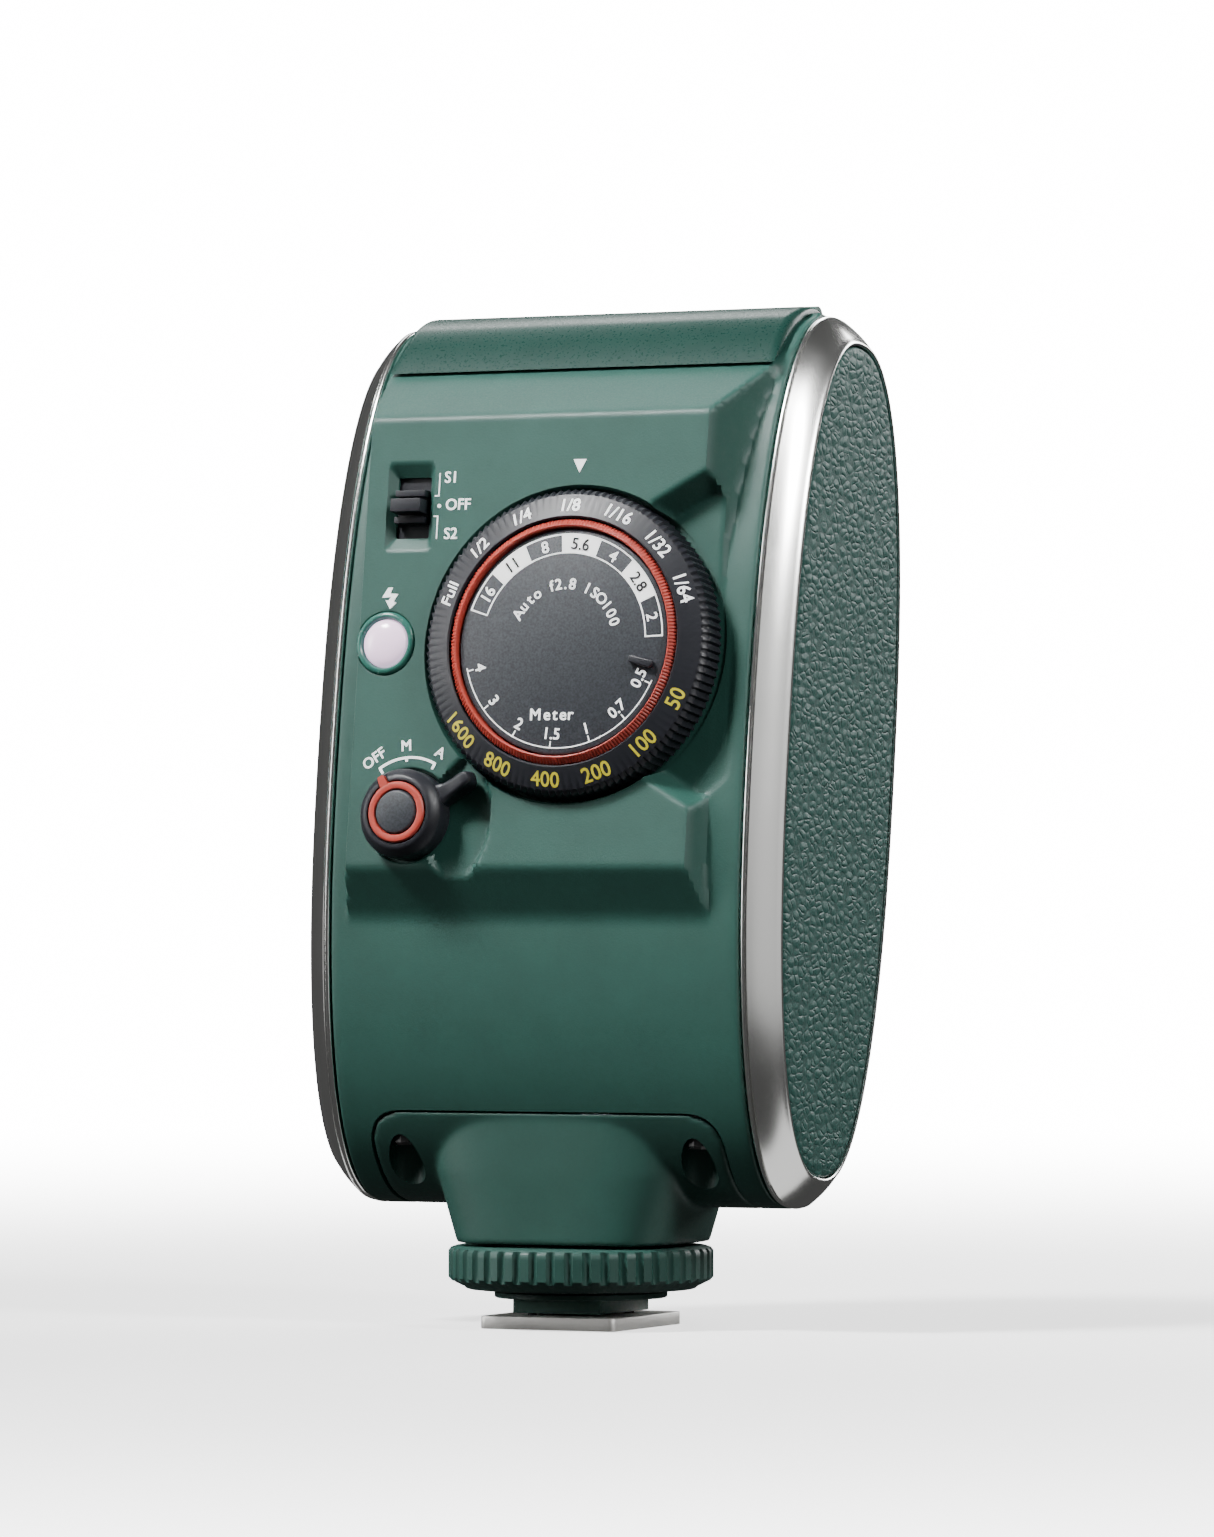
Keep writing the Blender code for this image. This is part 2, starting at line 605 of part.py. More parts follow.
def screws():
    for n, (x, z) in enumerate(CHASSIS_SCREWS, 1):
        spot = (x, BAY_FLOOR + GAP, z)
        screw(f"chassis_screw_{n}", 10, at=spot, turn=(-math.pi / 2, 0, 0))
    x, y = PEDESTAL_SCREWS
    for n, side in enumerate((-1, 1), 1):
        spot = (side * x, y, 24.1)
        screw(f"pedestal_screw_{n}", 9, 1.8, 0.9, frame=None, at=spot, turn=(math.pi, 0, 0))
    for n, (x, y) in enumerate(FOOT_SCREWS, 1):
        screw(f"foot_screw_{n}", 5, 1.2, 0.6, 0.8, frame=None, at=(x, y, 0.95), turn=(math.pi, 0, 0))


# ---------------------------------------------------------------- foot

def foot():
    x, y, thick = PLATE
    plate = box("shoe_plate", (-x / 2, -y / 2, 0), (x / 2, y / 2, thick), "steel", frame=None)
    upright = plate.modifiers.new("corners", "BEVEL")
    upright.width = 0.9 * MM
    upright.segments = 2
    upright.limit_method = "WEIGHT"
    weights = plate.data.attributes.new("bevel_weight_edge", "FLOAT", "EDGE")
    for edge in plate.data.edges:
        a, b = (plate.data.vertices[i].co for i in edge.vertices)
        weights.data[edge.index].value = 1.0 if abs(a.z - b.z) > 0.5 * thick * MM else 0.0
    cut(plate, cylinder("contact_window", 4.0, -5, 5, sides=24, frame=None))
    for n, spot in enumerate(FOOT_SCREWS):
        cut(plate, cylinder(f"foot_head_{n}", 1.5, -5, 1.2, centre=spot, sides=20, frame=None))
        cut(plate, cylinder(f"foot_way_{n}", 0.9, -5, 5, centre=spot, sides=16, frame=None))
    insulator = cylinder("foot_insulator", 3.7, 0.1, 1.55, "black", sides=24, frame=None)
    cut(insulator, cylinder("pin_way", 1.5, -5, 5, sides=24, frame=None))
    cylinder("contact_pin", 1.2, 0.0, 2.6, "steel", sides=24, frame=None)
    stem = cylinder("foot_stem", STEM_RADIUS, STEM_LOW, NECK[0][0] - GAP, "green", frame=None)
    bx, by = BLOCK
    low, high = (-bx / 2, -by / 2, thick + GAP), (bx / 2, by / 2, STEM_LOW + 1)
    join(stem, box("foot_block", low, high, frame=None))
    cut(stem, cylinder("pin_room", 1.6, -1, 4.2, sides=24, frame=None))
    for n, spot in enumerate(FOOT_SCREWS):
        cut(stem, cylinder(f"stem_way_{n}", 0.9, -1, 7.5, centre=spot, sides=16, frame=None))
    washer = cylinder("clamp_washer", 10.9, 3.7, 4.5, "green", sides=48, frame=None)
    wide, deep = bx / 2 + GAP, by / 2 + GAP
    cut(washer, box("washer_window", (-wide, -deep, 0), (wide, deep, 9), frame=None))
    return plate


def lock_ring():
    """Knurled nut on the stem; its flutes are shallow round grooves."""
    inner = STEM_RADIUS + GAP
    profile = [
        (inner, 10.2), (RING_RADIUS - 0.4, 10.2), (RING_RADIUS, 9.8), (RING_RADIUS, 6.4),
        (14.6, 5.2), (14.4, 4.8), (inner, 4.8),
    ]
    ring = turned("lock_ring", profile, "green", steps=RING_FLUTES, frame=None)
    flutes = []
    for i in range(RING_FLUTES):
        angle = math.tau * i / RING_FLUTES
        spot = ((RING_RADIUS + 0.35) * math.cos(angle), (RING_RADIUS + 0.35) * math.sin(angle))
        flutes.append(cylinder(f"flute_{i}", 0.85, 3, 9.7, centre=spot, sides=6, frame=None))
    shape = bmesh.new()
    for flute in flutes:
        shape.from_mesh(flute.data)
        bpy.data.objects.remove(flute)
    mesh = bpy.data.meshes.new("flutes")
    shape.to_mesh(mesh)
    shape.free()
    cut(ring, add("flutes", mesh, frame=None))
    return ring


# ---------------------------------------------------------------- flash head

def head_cover():
    """Curved front door whose knuckles turn on the hinge pin."""
    top, bottom = HEAD_ANGLES
    outline = oval(HALF_DEPTH, HEAD_HALF_HEIGHT, start=top, stop=bottom, count=28)
    inside = oval(HALF_DEPTH - HEAD_WALL, HEAD_HALF_HEIGHT - HEAD_WALL, start=bottom, stop=top, count=28)
    outline += inside
    cover = slab("head_cover", outline, -HEAD_HALF_WIDTH, HEAD_HALF_WIDTH, "green")
    for n, (low, high) in enumerate(((-25.3, -21.3), (-16.7, 16.7), (21.3, 25.3))):
        knuckle = cylinder(f"cover_knuckle_{n}", KNUCKLE_RADIUS, low, high, axis="X", centre=HINGE, sides=24)
        join(cover, knuckle)
    for side in (-1, 1):
        low, high = sorted((side * 16.7, side * 21.3))
        cut(cover, cylinder(f"knuckle_room_{side}", 3.4, low, high, axis="X", centre=HINGE, sides=24))
        low, high = sorted((side * 25.3, side * 27))
        cut(cover, cylinder(f"ear_room_{side}", 3.4, low, high, axis="X", centre=HINGE, sides=24))
    cut(cover, cylinder("cover_bore", HINGE_PIN_RADIUS + 0.3, -40, 40, axis="X", centre=HINGE, sides=24))
    return cover


def hinge_pin():
    return cylinder("hinge_pin", HINGE_PIN_RADIUS, -25.1, 25.1, "steel", axis="X", centre=HINGE, sides=24)


def fan_leaf(number):
    """One dished blade: a ring round the hub and a sector that widens to the rim."""
    inner, ring = HUB_RADIUS + GAP, 7.6
    half = LEAF_WIDTH / 2
    sector = [-math.pi / 2 - half + LEAF_WIDTH * i / 3 for i in range(4)]
    rest = [sector[-1] + (math.tau - LEAF_WIDTH) * i / 11 for i in range(1, 11)]
    angles = sector + rest
    radii = [inner, ring, 26.0, FAN_RADIUS]

    def spot(radius, angle):
        dish = FAN_DEPTH * (radius - inner) / (FAN_RADIUS - inner)
        return Vector((radius * math.cos(angle), radius * math.sin(angle), dish)) * MM

    def build(shape):
        rows = [[shape.verts.new(spot(r, a)) for a in angles] for r in radii[:2]]
        rows += [[shape.verts.new(spot(r, a)) for a in sector] for r in radii[2:]]
        count = len(angles)
        for i in range(count):
            j = (i + 1) % count
            shape.faces.new((rows[0][i], rows[0][j], rows[1][j], rows[1][i]))
        for low, high in zip(rows[1:], rows[2:]):
            for i in range(len(sector) - 1):
                shape.faces.new((low[i], low[i + 1], high[i + 1], high[i]))

    level = FIRST_LEAF - LEAF_PITCH * (number - 1)
    leaf = add(
        f"fan_leaf_{number:02d}",
        mesh_of("leaf", build),
        "leaf",
        at=(0, level, FAN_HUB),
        turn=(math.pi / 2, 0, 0),
    )
    thick = leaf.modifiers.new("thickness", "SOLIDIFY")
    thick.thickness = LEAF_THICKNESS * MM
    thick.offset = 0
    return leaf


def flash_head():
    head_cover()
    hinge_pin()
    cylinder("fan_hub", HUB_RADIUS, 11.2, 18.3, "black", axis="Y", centre=(0, FAN_HUB))
    base = [(0, 0), (9.4, 0), (9.4, -1.4), (8.6, -2.6), (7.9, -2.6), (7.9, -1.2), (0, -1.2)]
    turn = (-math.pi / 2, 0, 0)
    smooth(turned("lamp_base", base, "leaf", steps=28, closed=False, at=(0, 10.9, FAN_HUB), turn=turn))
    tube_points = [(-4.2, 0), (-4.2, -1.9), (-2.9, -3.2), (0, -3.8), (2.9, -3.2), (4.2, -1.9), (4.2, 0)]
    curve = bpy.data.curves.new("flash_tube", "CURVE")
    curve.dimensions = "3D"
    curve.bevel_depth = 1.1 * MM
    curve.bevel_resolution = 2
    curve.use_fill_caps = True
    line = curve.splines.new("POLY")
    line.points.add(len(tube_points) - 1)
    for point, (x, y) in zip(line.points, tube_points):
        point.co = (x * MM, y * MM, 0, 1)
    add("flash_tube", curve, "glass", at=(0, 9.3, FAN_HUB))
    angles = [math.pi / 2 * i / 5 for i in range(6)]
    profile = [(6.8 * math.sin(a), -5.8 * math.cos(a)) for a in angles]
    profile += [(7.6 * math.sin(a), -6.6 * math.cos(a)) for a in reversed(angles)]
    smooth(turned("lamp_dome", profile, "glass", steps=28, closed=False, at=(0, 9.4, FAN_HUB), turn=turn))
    for number in range(1, LEAF_COUNT + 1):
        fan_leaf(number)


rear_casing()
front_chassis()
top_cap()
pedestal()
side_trim(1, "right")
side_trim(-1, "left")
power_dial()
calculator()
mode_control()
slider()
test_button()
electronics()
front_fittings()
screws()
foot()
lock_ring()
flash_head()
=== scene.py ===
"""Looks of the shoe-mount camera flash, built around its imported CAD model.

Shapes are drawn in millimetres. HOUSING is the space of the leaning housing: x across, y from the
controls to the front, z along the housing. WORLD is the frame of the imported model.
"""

import math

import bmesh
import bpy
import numpy as np
from mathutils import Matrix, Vector


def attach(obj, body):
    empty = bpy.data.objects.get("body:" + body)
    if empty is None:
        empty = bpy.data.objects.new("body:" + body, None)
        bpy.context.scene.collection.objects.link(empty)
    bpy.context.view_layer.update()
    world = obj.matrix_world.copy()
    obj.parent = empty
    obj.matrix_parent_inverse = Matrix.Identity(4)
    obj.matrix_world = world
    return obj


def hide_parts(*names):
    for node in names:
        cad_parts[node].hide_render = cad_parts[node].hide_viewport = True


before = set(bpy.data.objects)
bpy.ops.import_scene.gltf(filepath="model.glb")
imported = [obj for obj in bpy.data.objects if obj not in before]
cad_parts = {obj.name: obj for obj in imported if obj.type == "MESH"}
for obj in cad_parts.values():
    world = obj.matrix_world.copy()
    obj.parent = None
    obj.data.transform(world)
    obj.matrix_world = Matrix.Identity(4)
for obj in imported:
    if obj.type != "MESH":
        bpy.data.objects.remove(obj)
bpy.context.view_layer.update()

# ---- dimensions, in millimetres

LEAN = math.radians(7.7)
HOUSING_CENTRE = (0.0, 7.74, 71.2)
HALF_DEPTH = 20.4
HALF_HEIGHT = 56.4
OVAL_POWER = 2.4
HALF_WIDTH = 28.0
WALL = 1.8
SPLIT = 0.15
GAP = 0.3
SEAM = 0.14
EDGE_ROUND = 0.45

PANEL = -23.1
PANEL_EDGES = (-24.7, 22.2, -16.7, 40.5)
PANEL_BASE = -12.0
PANEL_BASE_EDGES = (-27.6, 27.6, -34.7, 49.7)
SCALLOP = [(16.5, 27.5), (22.5, 30.8), (25.9, 28.0), (25.9, -5.0), (22.9, -7.6), (16.5, -3.9)]
SCALLOP_FLOOR = -20.2

DIAL = (4.9, 11.2)
DIAL_RADIUS = 19.4
DIAL_POCKET_DEPTH = 3.2
MODE = (-16.2, -10.2)
MODE_RADIUS = 5.65
LEVER_ANGLE = math.radians(26.4)
LEVER_REACH = 10.6
MODE_MARK_ANGLE = math.radians(119)
LEVER_ROOM = 11.2
SLIDER = (-18.5, 29.1)
BUTTON = (-20.8, 11.7)
BUTTON_RADIUS = 2.85

BEZEL_IN = 28.3
BEZEL_OUT = 32.5
BEZEL_INSET = 3.4

LID_HALF_WIDTH = 26.7
LID_ROUND = 1.3
LID_HEART = (-8.0, 50.0)
LID_OUTSIDE = [
    (-14.8, 48.0), (-14.0, 49.3), (-13.0, 50.8), (-11.9, 52.3), (-10.6, 53.7),
    (-9.3, 54.9), (-7.7, 55.9), (-6.1, 56.7), (-4.6, 57.2), (-3.2, 57.45), (-1.6, 57.4), (-0.8, 57.0),
]
LID_SPAN = (91.2, 119.6)
LID_FOOT = (-12.25, 49.9)

HINGE = (1.6, 57.0)
KNUCKLE_RADIUS = 1.5
HINGE_PIN_RADIUS = 0.7
HEAD_HALF_WIDTH = 25.9
HEAD_HALF_HEIGHT = 55.9
HEAD_WALL = 1.8
HEAD_LOW_ANGLE = -45.2
HEAD_TOP_ANGLE = 86.5
BAY_FLOOR = 2.15
BAY_HALF_WIDTH = 26.3
BAY_LOW = -42.5
SENSOR_HEIGHT = -46.3

LEAF_COUNT = 12
LEAF_PITCH = 0.55
LEAF_THICKNESS = 0.25
LEAF_WIDTH = math.radians(34)
FAN_HUB = 4.5
FAN_RADIUS = 46.0
FAN_DEPTH = 5.0
FIRST_LEAF = 18.2
HUB_RADIUS = 4.0

PLATE = (18.6, 20.5, 1.6)
BLOCK = (12.3, 14.5)
NECK = ((10.6, 14.5, 12.3), (19.5, 17.4, 12.5), (27.0, 18.6, 12.5))
STEM_RADIUS = 10.0
STEM_LOW = 4.9
RING_RADIUS = 16.7
RING_FLUTES = 46
PEDESTAL_HALF_WIDTH = 24.3
PEDESTAL_CORNER = 5.0
PEDESTAL_SCREWS = (20.2, -8.5)
PLATE_START = 232.1
PLATE_STOP = 292.0
FOOT_SCREWS = [(4.2, 5.4), (-4.2, -5.4)]

DISC_FACE = 2.2
CONE = ((15.8, 2.61), (18.6, 1.75))
BAND = (11.1, 13.6)
BAND_START = 162
BAND_CELL = 22.8
SCALE_RADIUS = 13.45
PRINT_THICKNESS = 0.03
STROKE_GROWTH = 0.035
STROKE_STEP = 0.004
LIFTED_INK = 0.05

# ---- the studio, in metres

SWEEP_FLOOR = 2.2
SWEEP_BEND = 0.6
SWEEP_HEIGHT = 2.4
SWEEP_GLOW_SPAN = (0.05, 0.9)
SWEEP_GLOW = (1.5, 16.0)
WORLD_GLOW = 0.065
CAMERA_TURN = math.radians(25)
CAMERA_PITCH = math.radians(1.044)
CAMERA_YAW = math.radians(0.197)
CAMERA_DISTANCE = 0.951
CAMERA_HEIGHT = 0.0529
CAMERA_LENS = 176.7

WORLD = Matrix.Scale(0.001, 4)
HOUSING = WORLD @ Matrix.Translation(HOUSING_CENTRE) @ Matrix.Rotation(-LEAN, 4, "X")


def outward(spot, level=PANEL):
    """Place on the panel, within the housing's space, with Z pointing out of the panel."""
    return Matrix.Translation((spot[0], level, spot[1])) @ Matrix.Rotation(math.pi / 2, 4, "X")


def facing_out(spot, level=PANEL):
    """World space of a control on the panel, with Z pointing out."""
    return HOUSING @ outward(spot, level)


def facing_front(spot, level):
    """World space of a piece in the head, with Z pointing to the front."""
    return HOUSING @ Matrix.Translation((spot[0], level, spot[1])) @ Matrix.Rotation(-math.pi / 2, 4, "X")


# ---- materials

def blank(name, colour, roughness, metallic=0.0, specular=0.5):
    """A new material and its shader."""
    made = bpy.data.materials.new(name)
    made.use_nodes = True
    shader = made.node_tree.nodes["Principled BSDF"]
    shader.inputs["Base Color"].default_value = (*colour, 1.0)
    shader.inputs["Roughness"].default_value = roughness
    shader.inputs["Metallic"].default_value = metallic
    shader.inputs["Specular IOR Level"].default_value = specular
    return made, shader


def wire(made, kind, links=(), **values):
    """Adds a node, sets its inputs, and links (input, node, output) rows into it."""
    node = made.node_tree.nodes.new(kind)
    for key, value in values.items():
        if key in node.inputs:
            node.inputs[key].default_value = value
        else:
            setattr(node, key, value)
    for name, source, output in links:
        made.node_tree.links.new(source.outputs[output], node.inputs[name])
    return node


def noise(made, place, scale, detail=3.0, roughness=0.5):
    links = [("Vector", place, "Object")]
    return wire(made, "ShaderNodeTexNoise", links, Scale=scale, Detail=detail, Roughness=roughness)


def spread(made, source, output, low, high, to_low, to_high):
    """Maps a range of a node's output to another range."""
    node = wire(made, "ShaderNodeMapRange", [("Value", source, output)])
    for key, value in (("From Min", low), ("From Max", high), ("To Min", to_low), ("To Max", to_high)):
        node.inputs[key].default_value = value
    return node


def tint(made, shader, source, output, dark, light):
    """Base colour that runs between two colours."""
    ramp = wire(made, "ShaderNodeValToRGB", [("Fac", source, output)])
    ramp.color_ramp.elements[0].color = (*dark, 1)
    ramp.color_ramp.elements[1].color = (*light, 1)
    ramp.color_ramp.elements[0].position = 0.3
    ramp.color_ramp.elements[1].position = 0.7
    made.node_tree.links.new(ramp.outputs["Color"], shader.inputs["Base Color"])


def bump(made, shader, source, output, strength, distance):
    node = wire(made, "ShaderNodeBump", [("Height", source, output)], Strength=strength, Distance=distance)
    made.node_tree.links.new(node.outputs["Normal"], shader.inputs["Normal"])


def moulded(name, colour, roughness, grain, depth, strength=0.35, contrast=0.06, specular=0.5):
    """Moulded plastic: a fine spark-eroded grain, a faint cloud of tone and uneven gloss."""
    made, shader = blank(name, colour, roughness, specular=specular)
    place = wire(made, "ShaderNodeTexCoord")
    fine = noise(made, place, grain, 2.0)
    cloud = noise(made, place, 160.0, 4.0)
    dark = [c * (1 - contrast) for c in colour]
    light = [c * (1 + contrast) for c in colour]
    tint(made, shader, cloud, "Fac", dark, light)
    gloss = spread(made, fine, "Fac", 0.3, 0.7, roughness - 0.05, roughness + 0.07)
    made.node_tree.links.new(gloss.outputs["Result"], shader.inputs["Roughness"])
    bump(made, shader, fine, "Fac", strength, depth)
    return made


def speckled(name, dark, light, roughness):
    """Dark plastic with a sparkling grain."""
    made, shader = blank(name, dark, roughness)
    place = wire(made, "ShaderNodeTexCoord")
    fine = noise(made, place, 3600.0, 2.0, 0.6)
    tint(made, shader, fine, "Fac", dark, light)
    bump(made, shader, fine, "Fac", 0.6, 0.00003)
    return made


def metal(name, colour, roughness, grain, strength, wear=0.05):
    """Plated or milled metal with faint clouding in its gloss."""
    made, shader = blank(name, colour, roughness, 1.0)
    place = wire(made, "ShaderNodeTexCoord")
    cloud = noise(made, place, 220.0, 5.0)
    gloss = spread(made, cloud, "Fac", 0.3, 0.7, roughness, roughness + wear)
    made.node_tree.links.new(gloss.outputs["Result"], shader.inputs["Roughness"])
    fine = noise(made, place, grain, 3.0)
    bump(made, shader, fine, "Fac", strength, 0.00003)
    return made


def pebbled_leather(name, colour):
    """Leatherette: rounded pebbles of two sizes with narrow valleys darkened by painted shade, and a soft
    gloss.
    """
    made, shader = blank(name, colour, 0.5, specular=0.2)
    place = wire(made, "ShaderNodeTexCoord")
    wander = noise(made, place, 420.0)
    drawn = wire(made, "ShaderNodeMapping", [("Vector", place, "Object")], Scale=(1.0, 0.6, 1.0))
    mixed = [("Color1", drawn, "Vector"), ("Color2", wander, "Color")]
    stir = [("Vector", wire(made, "ShaderNodeMixRGB", mixed, Fac=0.0012), "Color")]
    cells = wire(made, "ShaderNodeTexVoronoi", stir, feature="SMOOTH_F1", Scale=980.0, Smoothness=0.35)
    edges = wire(made, "ShaderNodeTexVoronoi", stir, feature="DISTANCE_TO_EDGE", Scale=980.0)
    valley = spread(made, edges, "Distance", 0.0, 0.16, 0.0, 1.0)
    valley.interpolation_type = "SMOOTHSTEP"
    dome = spread(made, cells, "Distance", 0.0, 0.75, 1.0, 0.0)
    pebble = [(0, valley, "Result"), (1, dome, "Result")]
    height = wire(made, "ShaderNodeMath", pebble, operation="MULTIPLY")
    fine = noise(made, place, 5200.0)
    rough = wire(made, "ShaderNodeMath", [(0, fine, "Fac"), (2, height, "Value")], operation="MULTIPLY_ADD")
    rough.inputs[1].default_value = 0.22
    bump(made, shader, rough, "Value", 1.0, 0.00015)
    # Painted shade: the valleys between pebbles are darkened to 0.8 of the leather's colour, and the pebble
    # tops are lightened a little.
    tint(made, shader, valley, "Result", [c * 0.8 for c in colour], [c * 1.06 for c in colour])
    gloss = spread(made, fine, "Fac", 0.3, 0.7, 0.42, 0.6)
    made.node_tree.links.new(gloss.outputs["Result"], shader.inputs["Roughness"])
    return made


def clear(name, colour, roughness):
    """Acrylic that lets light through."""
    made, shader = blank(name, colour, roughness)
    shader.inputs["Transmission Weight"].default_value = 1.0
    shader.inputs["IOR"].default_value = 1.49
    place = wire(made, "ShaderNodeTexCoord")
    fine = noise(made, place, 260.0, 2.0)
    bump(made, shader, fine, "Fac", 0.03, 0.00002)
    return made


def lit_lens(name, colour, glow, strength):
    """A milky lens with a lamp behind it."""
    made, shader = blank(name, colour, 0.22)
    shader.inputs["Emission Color"].default_value = (*glow, 1)
    shader.inputs["Emission Strength"].default_value = strength
    shader.inputs["Coat Weight"].default_value = 0.6
    shader.inputs["Coat Roughness"].default_value = 0.08
    place = wire(made, "ShaderNodeTexCoord")
    cloud = noise(made, place, 300.0, 3.0)
    tint(made, shader, cloud, "Fac", [c * 0.94 for c in colour], colour)
    bump(made, shader, cloud, "Fac", 0.05, 0.00002)
    return made


def printed(name, colour, glow=0.0):
    """Pad-printed ink, slightly uneven; glow is painted light, a self-lit brightness that keeps white ink
    white on a dark part.
    """
    made, shader = blank(name, colour, 0.5)
    shader.inputs["Emission Color"].default_value = (1, 1, 1, 1)
    shader.inputs["Emission Strength"].default_value = glow
    place = wire(made, "ShaderNodeTexCoord")
    cloud = noise(made, place, 2600.0, 2.0)
    tint(made, shader, cloud, "Fac", [c * 0.9 for c in colour], colour)
    return made


GREEN_TONE = (0.019, 0.080, 0.063)
GREEN = moulded("green_housing_plastic", GREEN_TONE, 0.5, 4200.0, 0.00004)
# Painted shade: the pedestal, foot and lock ring take the housing green darkened to 0.8, for the shade they
# sit in below the key light. Their finer grain is their own.
GREEN_SMOOTH_SHADED = moulded("green_foot_plastic_shaded", [c * 0.8 for c in GREEN_TONE], 0.5, 3000.0, 0.00001)
# Painted shade: the ridge cover takes the housing green at half its lightness, to darken its face.
GREEN_LID_SHADED = moulded("green_lid_plastic_shaded", [c * 0.5 for c in GREEN_TONE], 0.3, 3000.0, 0.000004, specular=0.25)
# Painted light: the button collar takes the housing green made 1.7 times lighter, for the lit side of its
# rim. Its gloss is its own.
GREEN_GLOSS_LIT = moulded("green_collar_plastic_lit", [c * 1.7 for c in GREEN_TONE], 0.22, 1200.0, 0.000004)
BLACK = moulded("black_dial_plastic", (0.014, 0.015, 0.02), 0.42, 3600.0, 0.00001, specular=0.4)
BLACK_INSIDE = moulded("black_inner_plastic", (0.02, 0.02, 0.022), 0.55, 3600.0, 0.00002)
GREY = speckled("grey_grained_plastic", (0.013, 0.016, 0.021), (0.036, 0.041, 0.05), 0.5)
RED = moulded("red_plastic", (0.44, 0.052, 0.034), 0.42, 3600.0, 0.00001)
CHROME = metal("satin_chrome", (0.86, 0.86, 0.84), 0.2, 900.0, 0.03, 0.02)
STEEL = metal("milled_steel", (0.56, 0.55, 0.52), 0.36, 2400.0, 0.25, 0.12)
BLACKENED = metal("blackened_steel", (0.09, 0.09, 0.09), 0.45, 2400.0, 0.2, 0.1)
NICKEL = metal("cast_nickel", (0.8, 0.79, 0.76), 0.5, 2400.0, 0.9, 0.14)
MIRROR = metal("polished_leaf", (0.9, 0.9, 0.89), 0.36, 600.0, 0.05, 0.04)
LEATHER = pebbled_leather("green_leatherette", (0.021, 0.074, 0.062))
CLEAR = clear("clear_lens", (0.95, 0.97, 1.0), 0.03)
SENSOR = clear("smoked_lens", (0.25, 0.24, 0.27), 0.05)
LIT = lit_lens("lit_button", (0.9, 0.66, 0.86), (1.0, 0.74, 1.0), 0.8)
# Painted light: the white ink glows, so it stays bright where it is shaded.
WHITE_INK_GLOWING = printed("white_ink_glowing", (0.93, 0.94, 0.93), 0.7)
YELLOW_INK = printed("yellow_ink", (0.72, 0.62, 0.03))
BLACK_INK = printed("black_ink", (0.012, 0.012, 0.014))
BOARD = moulded("circuit_board", (0.02, 0.12, 0.05), 0.4, 1800.0, 0.00002, 0.3, 0.25)
COPPER = metal("copper_winding", (0.7, 0.32, 0.16), 0.3, 1500.0, 0.4)
CELL = moulded("cell_wrap", (0.03, 0.09, 0.3), 0.3, 1200.0, 0.00001, 0.2)


# ---- mesh tools

def mesh_from(points, faces):
    """A mesh with merged doubles and outward faces."""
    mesh = bpy.data.meshes.new("shape")
    mesh.from_pydata([tuple(p) for p in points], [], [tuple(f) for f in faces])
    shape = bmesh.new()
    shape.from_mesh(mesh)
    bmesh.ops.remove_doubles(shape, verts=shape.verts, dist=1e-5)
    bmesh.ops.dissolve_degenerate(shape, edges=shape.edges, dist=1e-6)
    bmesh.ops.recalc_face_normals(shape, faces=shape.faces)
    shape.to_mesh(mesh)
    shape.free()
    return mesh


def strips(rows, closed):
    """The points of equally long rows, and the faces between them. closed joins each row's ends."""
    count = len(rows[0])
    faces = []
    for r in range(len(rows) - 1):
        for i in range(count if closed else count - 1):
            j = (i + 1) % count
            faces.append((r * count + i, r * count + j, (r + 1) * count + j, (r + 1) * count + i))
    return [p for row in rows for p in row], faces


def skin(rows):
    """A solid through rows of points, whose first and last row are its ends."""
    points, faces = strips(rows, True)
    count = len(rows[0])
    faces.append(tuple(range(count))[::-1])
    faces.append(tuple(range(len(points) - count, len(points))))
    return mesh_from(points, faces)


def rounded(points, radius, segments=4):
    """The outline with each corner turned into a short curve."""
    out = []
    for i, point in enumerate(points):
        corner = Vector(point)
        before = Vector(points[i - 1]) - corner
        after = Vector(points[(i + 1) % len(points)]) - corner
        reach = min(radius, 0.45 * before.length, 0.45 * after.length)
        start = corner + before.normalized() * reach
        end = corner + after.normalized() * reach
        for k in range(segments + 1):
            t = k / segments
            out.append(tuple(start * (1 - t) ** 2 + corner * 2 * t * (1 - t) + end * t * t))
    return out


def revolve(profile, steps=128, closed=False, wave=None):
    """A profile of (radius, height) points turned about Z. wave(step, radius, height) shifts a radius."""
    rows = []
    for i in range(steps):
        angle = math.tau * i / steps
        row = []
        for r, z in profile:
            if wave is not None:
                r += wave(i, r, z)
            row.append((r * math.cos(angle), r * math.sin(angle), z))
        rows.append(row)
    rows.append(rows[0])
    return mesh_from(*strips(rows, closed))


def slab(outline, low, high):
    """An outline in y and z extruded across x."""
    return skin([[(x, y, z) for y, z in outline] for x in (low, high)])


def prism(outline, low, high):
    """An outline in x and z extruded along y."""
    return skin([[(x, y, z) for x, z in outline] for y in (low, high)])


def plate(outline, low, high):
    """An outline in x and y extruded along z."""
    return skin([[(x, y, z) for x, y in outline] for z in (low, high)])


def rectangle(left, right, low, high, radius=0.0, segments=6):
    outline = [(left, low), (right, low), (right, high), (left, high)]
    return rounded(outline, radius, segments=segments) if radius else outline


def box(low, high):
    return plate(rectangle(low[0], high[0], low[1], high[1]), low[2], high[2])


